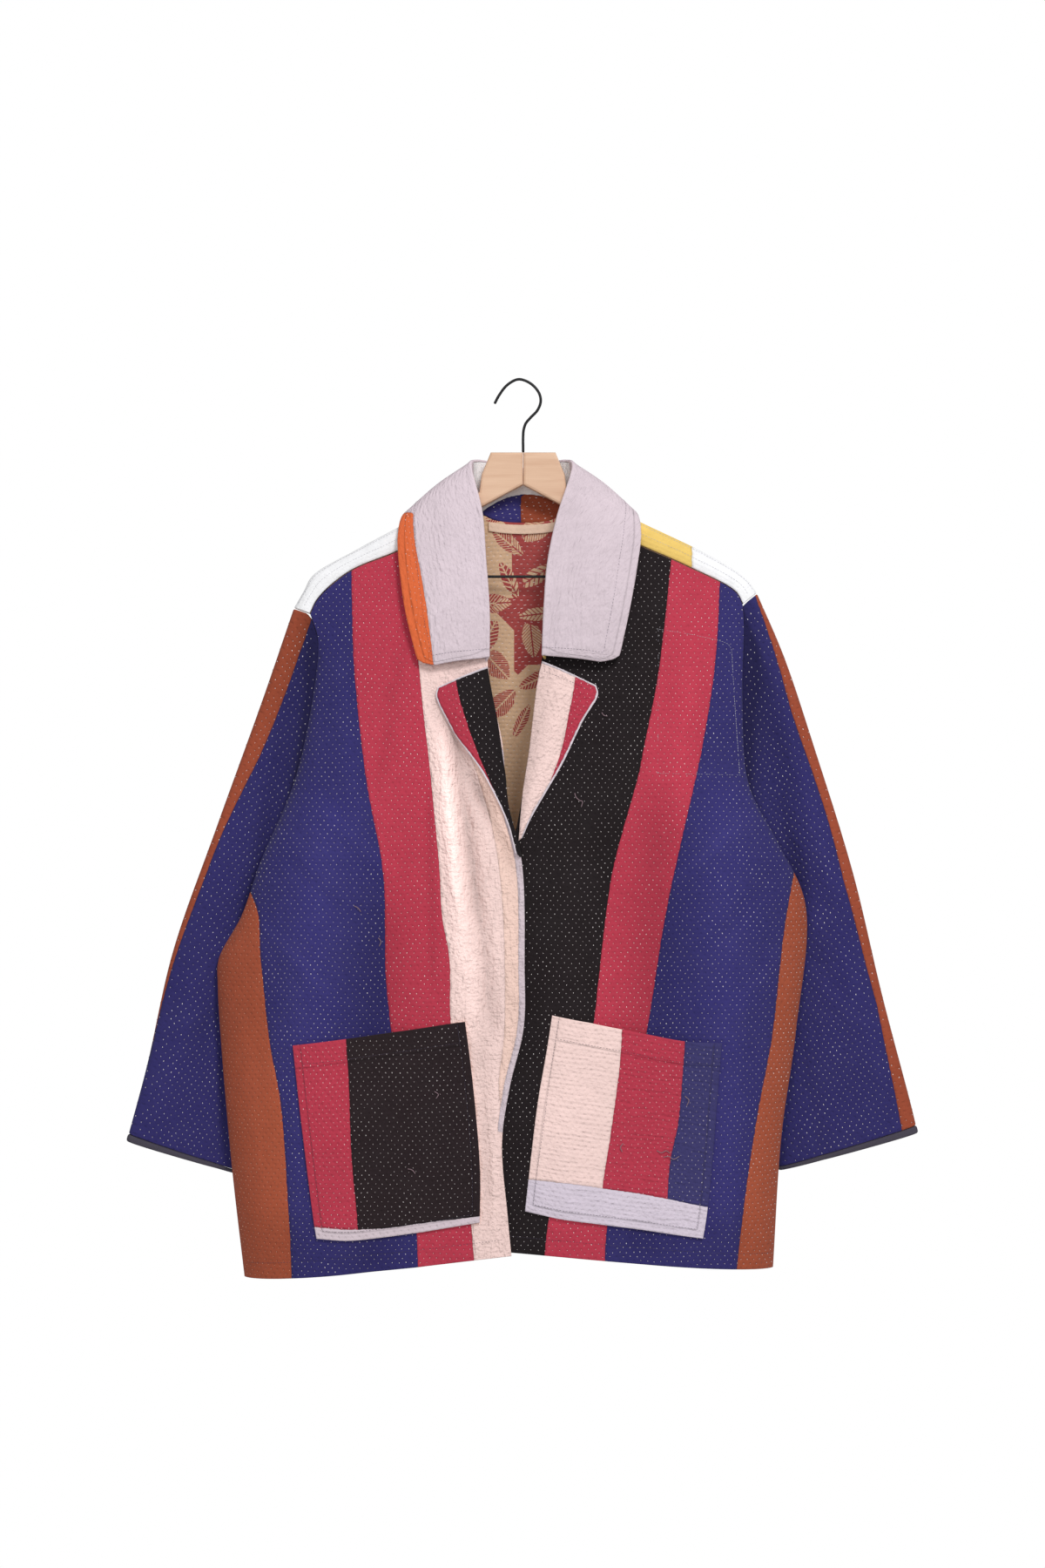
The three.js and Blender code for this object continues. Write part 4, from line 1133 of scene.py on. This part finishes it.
ORANGE = colour(222, 106, 60)
collar_cloth = cloth("collar cloth", LILAC, [
    ("orange", ORANGE), ("white", colour(236, 234, 236)), ("stand", BLUE), ("brown", colour(142, 66, 42)),
    ("yellow", colour(226, 190, 110)),
], quilt=0.3, ripple=0.1, puckers=0.45, drawn=(110.0, 260.0), pressed=("sewn",))
shell(
    "collar_cloth", "collar", collar_sheet, collar_cloth, collar_cloth, spacing=(3.4, 2.6),
    seams={
        "sewn": border(8, "left", "right", "high"), "orange": orange_part, "white": white_part,
        "stand": stand_part, "brown": brown_part, "yellow": yellow_part,
    },
)


def orange_strip(p):
    return orange_part(p, 0, np.ones(p.shape[:-1])) > 1


def inside_stand(p):
    return (p[..., 1] > 5) & (p[..., 1] < 24) & (p[..., 2] < -124) & (np.abs(p[..., 0] - 3) < 34)


quilting("collar_strip_stitches", collar_sheet, white_yarn, orange_strip, seed=17, step=(0.8, 0.5))
quilting(
    "collar_stand_stitches", collar_sheet, white_yarn, inside_stand, seed=18, run=(1, 0, 0),
    size=(2.0, 0.9, 0.4), margin=1, step=(0.8, 0.3),
)
END = 0.013
EDGE = 0.92
topstitch("collar_topstitch", collar_sheet, [
    (END, 0.42), (END, EDGE), (0.25, EDGE), (0.5, EDGE), (0.75, EDGE), (1 - END, EDGE), (1 - END, 0.42),
], dark_yarn)

# Neck tape
# A bias tape of beige cotton covers the neck seam inside the back.
NEWTON_STEPS = 18
FINE = 90


def lay_on(sheet, x, z, lift):
    """Points of a panel over given x and z, found by Newton steps, moved out from it to the front."""
    u, v = np.full(x.shape, 0.6), np.full(x.shape, 0.5)
    for _ in range(NEWTON_STEPS):
        p = sheet(u, v)
        pu, pv = (sheet(u + NUDGE, v) - p) / NUDGE, (sheet(u, v + NUDGE) - p) / NUDGE
        det = pu[..., 0] * pv[..., 2] - pv[..., 0] * pu[..., 2]
        ex, ez = x - p[..., 0], z - p[..., 2]
        u = np.clip(u + (ex * pv[..., 2] - ez * pv[..., 0]) / det, 0.02, 0.998)
        v = np.clip(v + (pu[..., 0] * ez - pu[..., 2] * ex) / det, 0, 0.998)
    p = sheet(u, v)
    out = np.cross(sheet(u + NUDGE, v) - p, sheet(u, v + NUDGE) - p)
    out /= np.linalg.norm(out, axis=-1, keepdims=True) * np.where(out[..., 1:2] < 0, 1, -1)
    return p + out * lift[..., None]


def laid_sheet(panel, bottom, top, left, right, lift):
    """A piece lying on a panel: worked out once on a fine grid, then read between its points."""
    outline = coons(line(bottom), line(top), line(left), line(right))
    u, v = np.meshgrid(np.linspace(0, 1, FINE + 1), np.linspace(0, 1, FINE + 1))
    flat = outline(u, v)
    held = lay_on(panel, flat[..., 0], flat[..., 2], lift(u, v))

    def sheet(a, b):
        s, t = np.clip(a, 0, 1) * FINE, np.clip(b, 0, 1) * FINE
        i, j = np.minimum(s.astype(int), FINE - 1), np.minimum(t.astype(int), FINE - 1)
        s, t = (s - i)[..., None], (t - j)[..., None]
        low = held[j, i] * (1 - s) + held[j, i + 1] * s
        return low * (1 - t) + (held[j + 1, i] * (1 - s) + held[j + 1, i + 1] * s) * t

    return sheet


SEAM_GAP = 0.4
LAID = WALL + 2 * SEAM_GAP
TAPE_LIFT = WALL / 2 + 2 * SEAM_GAP + BINDING_WALL / 2
tape_top = [(-34, -151.5), (-20, -153.5), (3, -154.5), (27, -153.5), (41, -151.5)]
tape_low = [(x, z - 10) for x, z in tape_top]
tape_sheet = laid_sheet(
    back_sheet, tape_low, tape_top, [tape_low[0], tape_top[0]], [tape_low[4], tape_top[4]],
    lambda u, v: np.full(u.shape, TAPE_LIFT),
)
tape_cloth = cloth("beige tape", colour(224, 194, 172), quilt=0.4)
shell("neck_tape_cloth", "neck_tape", tape_sheet, tape_cloth, tape_cloth, spacing=(2, 2),
      wall=BINDING_WALL, turned=2)

# Lapels
# The upper corners of the fronts, turned out at the roll line and lying on them. The right one shows
# raspberry and black, the left one pale pink with a raspberry tip; both have a narrow pale bound edge.


ROLL_LIFT = 5


def lapel_lift(u, v):
    """A lapel stands off its front most near the roll line and towards its top."""
    return LAID + ROLL_LIFT * np.sin(np.pi * np.minimum(1, 1.2 * (1 - u))) * v


lapel_right = laid_sheet(
    front_right, [(-3, -510), (2, -514)], [(-87, -333), (-34, -311)],
    [(-3, -510), (-14, -475), (-38, -426), (-73, -373), (-89, -342), (-87, -333)],
    [(2, -514), (-3, -487), (-14, -431), (-24, -364), (-34, -311)], lapel_lift,
)
lapel_left = laid_sheet(
    front_left, [(3, -494), (-1, -497)], [(82, -331), (24, -305)],
    [(3, -494), (12, -474), (28, -446), (46, -415), (68, -369), (84, -341), (82, -331)],
    [(-1, -497), (3, -450), (10, -402), (19, -327), (24, -305)], lapel_lift,
)


def roll_shade(p, u, v):
    """Painted shade: the lapel is darkened towards the roll line, where it turns under, most of all low
    down.
    """
    return -7 * smooth(0.45, 1, u) * (1 - 0.7 * v)


def above_point(p):
    return p[..., 2] > -505


def left_tip(p):
    """The raspberry tip of the left lapel, which alone is stitched in white."""
    return p[..., 0] > np.interp(p[..., 2], (-446, -402, -364, -326), (29, 45, 53, 60))


right_tip_line = beyond([(-68, -300), (-67, -329), (-58, -364), (-37, -420), (-14, -470)], -1)
left_tip_line = beyond([(60, -300), (59, -326), (52, -364), (44, -402), (28, -446), (14, -480)])
PALE = colour(226, 214, 222)
for side, sheet, slot, base, puckers, seam, flip, stitched in (
    ("right", lapel_right, "black_cloth", BLACK, 0.25, right_tip_line, False, above_point),
    ("left", lapel_left, "pink_cloth", PINK, 0.9, left_tip_line, True, left_tip),
):
    lapel_cloth = cloth(f"{side} lapel cloth", base, [("tip", RED), ("bound", PALE)], quilt=0.7, ripple=0.1,
                        puckers=puckers)
    shell(f"lapel_{side}_cloth", f"lapel_{side}", sheet, lapel_cloth, lapel_cloth, spacing=(2.2, 2.4),
          seams={"tip": seam, "bound": border(2.2, "left", "high"), "fold": roll_shade},
          flip=flip)
    quilting(f"lapel_{side}_stitches", sheet, white_yarn, stitched, seed=19, flip=flip, plan=flat_plan)
topstitch("lapel_topstitch", lapel_left, [(0.1, 0.95), (0.96, 0.95)], dark_yarn, flip=True)

# Patch pockets
# Two large pockets pieced like the fronts, sewn on round three sides, their mouths hemmed and
# standing off a little. Dark topstitching runs inside every edge.


MOUTH_LIFT = 3


def pocket_lift(u, v):
    """A pocket stands off its front more and more towards the middle of its mouth."""
    return LAID + MOUTH_LIFT * np.sin(np.pi * u) * v**2


pocket_right = laid_sheet(
    front_right, [(-215, -919), (-178, -921), (-109, -912), (-42, -901)],
    [(-240, -714), (-149, -702), (-57, -688)], [(-215, -919), (-218, -902), (-230, -807), (-240, -714)],
    [(-42, -901), (-42, -848), (-47, -778), (-57, -688)], pocket_lift,
)
pocket_left = laid_sheet(
    front_left, [(6, -890), (52, -899), (119, -909), (195, -920)],
    [(35, -682), (108, -697), (177, -710), (215, -712)], [(6, -890), (13, -831), (22, -763), (35, -682)],
    [(195, -920), (200, -889), (215, -712)], pocket_lift,
)
right_band = under([(-230, -905), (-178, -909), (-131, -906), (-108, -902), (-42, -894), (-20, -890)])
left_band = under([(0, -855), (52, -860), (97, -867), (156, -877), (199, -886), (230, -890)])
right_black = beyond([(-185, -660), (-184, -706), (-181, -754), (-178, -834), (-172, -902), (-171, -940)])
left_red = beyond([(110, -660), (109, -697), (106, -740), (97, -807), (88, -866), (82, -930)])
left_blue = beyond([(176, -660), (176, -709), (174, -740), (169, -796), (160, -841), (155, -930)])
pocket_lines = {"sewn": border(8, "left", "right", "low"), "hemmed": border(25, "high")}
pocket_right_cloth = cloth(
    "right pocket cloth", RED, [("black", colour(38, 27, 30)), ("band", LILAC)], ripple=0.2,
    pressed=("sewn", "hemmed"),
)
pocket_left_cloth = cloth("left pocket cloth", PINK, [
    ("red", RED), ("blue", colour(60, 57, 108)), ("band", colour(220, 208, 222)),
], quilt=0.8, ripple=0.35, puckers=0.35, drawn=(55.0, 210.0), pressed=("sewn", "hemmed"))


def above_right_band(p):
    return right_band(p, 0, 0) < -1


def dark_left_pocket(p):
    return (left_red(p, 0, 0) > 1) & (left_band(p, 0, 0) < -1)


for side, sheet, slot, made_of, strips in (
    ("right", pocket_right, "black_cloth", pocket_right_cloth, {"black": right_black, "band": right_band}),
    ("left", pocket_left, "pink_cloth", pocket_left_cloth,
     {"red": left_red, "blue": left_blue, "band": left_band}),
):
    shell(f"pocket_{side}_cloth", f"pocket_{side}", sheet, made_of, lining, spacing=(3, 3),
          seams={**pocket_lines, **strips})
quilting("pocket_right_stitches", pocket_right, white_yarn, above_right_band, seed=20, plan=flat_plan)
quilting("pocket_left_stitches", pocket_left, white_yarn, dark_left_pocket, seed=21, plan=flat_plan)
SEWN_IN = 0.045
low, high = SEWN_IN, 1 - SEWN_IN
for side, sheet, mouth in (("right", pocket_right, 0.9), ("left", pocket_left, 0.89)):
    topstitch(f"pocket_{side}_topstitch", sheet, [
        (low, 0.99), (low, low), (high, low), (high, 0.99), (high, mouth), (low, mouth),
    ], dark_yarn)

# Loose ends and marks
# What long wear has left: the outline of an unpicked pocket in scraps of grey thread on the left
# breast, and ends of thread that have worked out of the cloth.
GHOST_LINES = [
    [(148, -270), (190, -277), (224, -286), (228, -292)], [(228, -292), (231, -350), (236, -427)],
    [(148, -425), (236, -427)], [(149, -272), (148, -424)],
]


def trace(name, panel, points, material, share, seed):
    """Scraps of thread along a line on a panel: a share of the places where its stitches were."""
    draw = np.random.default_rng(seed)
    at = np.linspace(0, 1, int(np.hypot(*np.diff(np.array(points), axis=0).T).sum() / 2.6))
    at = at[draw.random(len(at)) < share]
    path = line(points)
    place, ahead = path(at), path(at + 0.004)
    held = lay_on(panel, place[:, 0], place[:, 2], np.full(len(at), WALL / 2))
    above = lay_on(panel, place[:, 0], place[:, 2], np.full(len(at), WALL / 2 + 1))
    next_one = lay_on(panel, ahead[:, 0], ahead[:, 2], np.full(len(at), WALL / 2))
    out = above - held
    along = next_one - held + (1e-4, 0, 0)
    along -= out * (along * out).sum(axis=1, keepdims=True)
    along /= np.linalg.norm(along, axis=1, keepdims=True)
    tone = draw.uniform(0.2, 1.0, len(at))
    dashes(name, held + out * 0.05, along, out, (2.5, 0.65, 0.4), material, tone)


for k, (points, share) in enumerate(zip(GHOST_LINES, (0.95, 0.9, 0.7, 0.5))):
    trace(f"unpicked_pocket_line_{k + 1}", front_left, points, grey_yarn, share, 50 + k)


def tube(name, path, radius, material, slot, node=None, sides=14):
    """A round wire along a path, its ends closed by rings that shrink to a small flat."""
    gap = np.linalg.norm(path[1] - path[0])
    share = np.minimum(1, np.array([radius * 0.5, radius]) / gap * 0.5)
    head = path[0] + (path[1] - path[0]) * share[:, None]
    tail = path[-1] + (path[-2] - path[-1]) * share[::-1, None]
    path = np.vstack([path[:1], head, path[1:-1], tail, path[-1:]])
    radii = np.full(len(path), radius)
    radii[[0, -1]] *= 0.45
    radii[[1, -2]] *= 0.85
    along = np.gradient(path, axis=0)
    along /= np.linalg.norm(along, axis=1, keepdims=True)
    aside = np.cross(along, (0.02, 1.0, 0.03))
    aside /= np.linalg.norm(aside, axis=1, keepdims=True)
    other = np.cross(along, aside)
    turn = np.linspace(0, 2 * np.pi, sides, endpoint=False)[None, :, None]
    spokes = aside[:, None] * np.cos(turn) + other[:, None] * np.sin(turn)
    points = (path[:, None] + radii[:, None, None] * spokes).reshape(-1, 3)
    ids = np.arange(len(path) * sides).reshape(-1, sides)
    after = np.roll(ids, -1, axis=1)
    quads = np.stack([ids[:-1], after[:-1], after[1:], ids[1:]], axis=-1).reshape(-1, 4).tolist()
    make(name, points, [*quads, ids[0, ::-1].tolist(), ids[-1].tolist()], [material], node)


# Each end: the panel it lies on, then [x, z, height off the cloth] along it.
LOOSE_ENDS = [
    (front_left, [(59, -446, 0), (60, -450, 2), (64, -454, 3), (67, -455, 2.2), (66, -461, 0.4)]),
    (front_left, [(88, -360, 0), (90, -363, 1.6), (94, -364, 1.2)]),
    (front_right, [(-150, -600, 0), (-147, -604, 2), (-149, -609, 1.4)]),
    (front_right, [(-176, -566, 0), (-172, -568, 1.8), (-169, -572, 1)]),
    (pocket_left, [(146, -826, 0), (151, -828, 1.8), (156, -826, 1.4), (160, -829, 0.3)]),
    (pocket_left, [(153, -833, 0), (159, -832, 2), (164, -835, 1.5), (170, -832, 0.3)]),
    (pocket_left, [(110, -818, 0), (107, -822, 1.6), (109, -827, 1)]),
    (pocket_left, [(176, -768, 0), (180, -772, 1.8), (178, -778, 0.6)]),
    (pocket_right, [(-90, -762, 0), (-86, -765, 1.6), (-88, -769, 1)]),
    (pocket_right, [(-118, -844, 0), (-113, -845, 1.7), (-110, -849, 0.4)]),
]
for k, (panel, points) in enumerate(LOOSE_ENDS):
    bend = through(points, np.linspace(0, 1, 9 * len(points)))
    path = lay_on(panel, bend[:, 0], bend[:, 1], WALL / 2 + 0.1 + np.maximum(bend[:, 2], 0))
    tube(f"loose_end_{k + 1}", path, 0.42, white_yarn, "thread", sides=6)

# Hanger
# Two pale wooden boards mitred at the middle, a painted wire hook and a thin painted trouser bar.
MITRE = 4


def wood(name, lean):
    """Pale wood: grain runs along the board, in fine streaks and a few broader bands."""
    material, tree = new_material(name)
    place = put(tree, "TexCoord").outputs["Object"]
    laid = put(tree, "Mapping", place, None, (0.0, lean, 0.0), (9.0, 60.0, 130.0)).outputs[0]
    bands = put(tree, "TexNoise", laid, named={"Scale": 1.0, "Detail": 2.0, "Distortion": 0.6}).outputs[0]
    fine_map = put(tree, "Mapping", place, None, (0.0, lean, 0.0), (40.0, 500.0, 1100.0)).outputs[0]
    fine = put(tree, "TexNoise", fine_map, named={"Scale": 1.0, "Detail": 3.0}).outputs[0]
    streak = calc(tree, "MULTIPLY_ADD", fine, 0.35, calc(tree, "MULTIPLY", bands, 0.75))
    shown = put(tree, "MixRGB", streak, colour(238, 205, 176), colour(196, 152, 122)).outputs[0]
    bump = put(tree, "Bump", named={"Strength": 0.4, "Distance": 0.0003, "Height": fine}).outputs[0]
    looks = {"Base Color": shown, "Roughness": 0.55, "Specular IOR Level": 0.4, "Normal": bump}
    dress(tree, looks)
    return material


for side, lean in (("right", -0.48), ("left", 0.48)):
    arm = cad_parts["hanger_arm_" + side]
    arm.data.materials.clear()
    arm.data.materials.append(wood(f"{side} board wood", lean))
black_paint, wire_tree = new_material("black wire paint")
wire_place = put(wire_tree, "TexCoord").outputs["Object"]
wire_noise = put(wire_tree, "TexNoise", wire_place, named={"Scale": 500.0, "Detail": 2.0}).outputs[0]
wire_tint = put(wire_tree, "MixRGB", wire_noise, colour(16, 16, 18), colour(32, 32, 35)).outputs[0]
wire_height = {"Strength": 0.3, "Distance": 0.0002, "Height": wire_noise}
wire_bump = put(wire_tree, "Bump", named=wire_height).outputs[0]
dress(wire_tree, {
    "Base Color": wire_tint, "Roughness": 0.5, "Metallic": 0.0, "Specular IOR Level": 0.3,
    "Normal": wire_bump,
})
WIRE = 1.5
BAR_HALF = 176
BAR_HEIGHT = -212.0
hook_points = [
    (-27, -25), (-21.5, -15), (-13, -4.5), (-1, 1.5), (12, -3), (21, -13), (23, -22.5), (19.5, -32),
    (12.5, -39.5), (7, -46), (4.6, -53), (MITRE, -60), (MITRE, -77.7),
]
hook_path = through(in_space(hook_points), np.linspace(0, 1, 130))
tube("hook_wire", hook_path, WIRE, black_paint, "black_wire", "hook")
bar_x = np.linspace(MITRE - BAR_HALF, MITRE + BAR_HALF, 12)
bar_path = np.stack([bar_x, np.zeros(12), np.full(12, BAR_HEIGHT)], axis=1)
tube("trouser_bar_wire", bar_path, WIRE, black_paint, "black_wire", "trouser_bar")
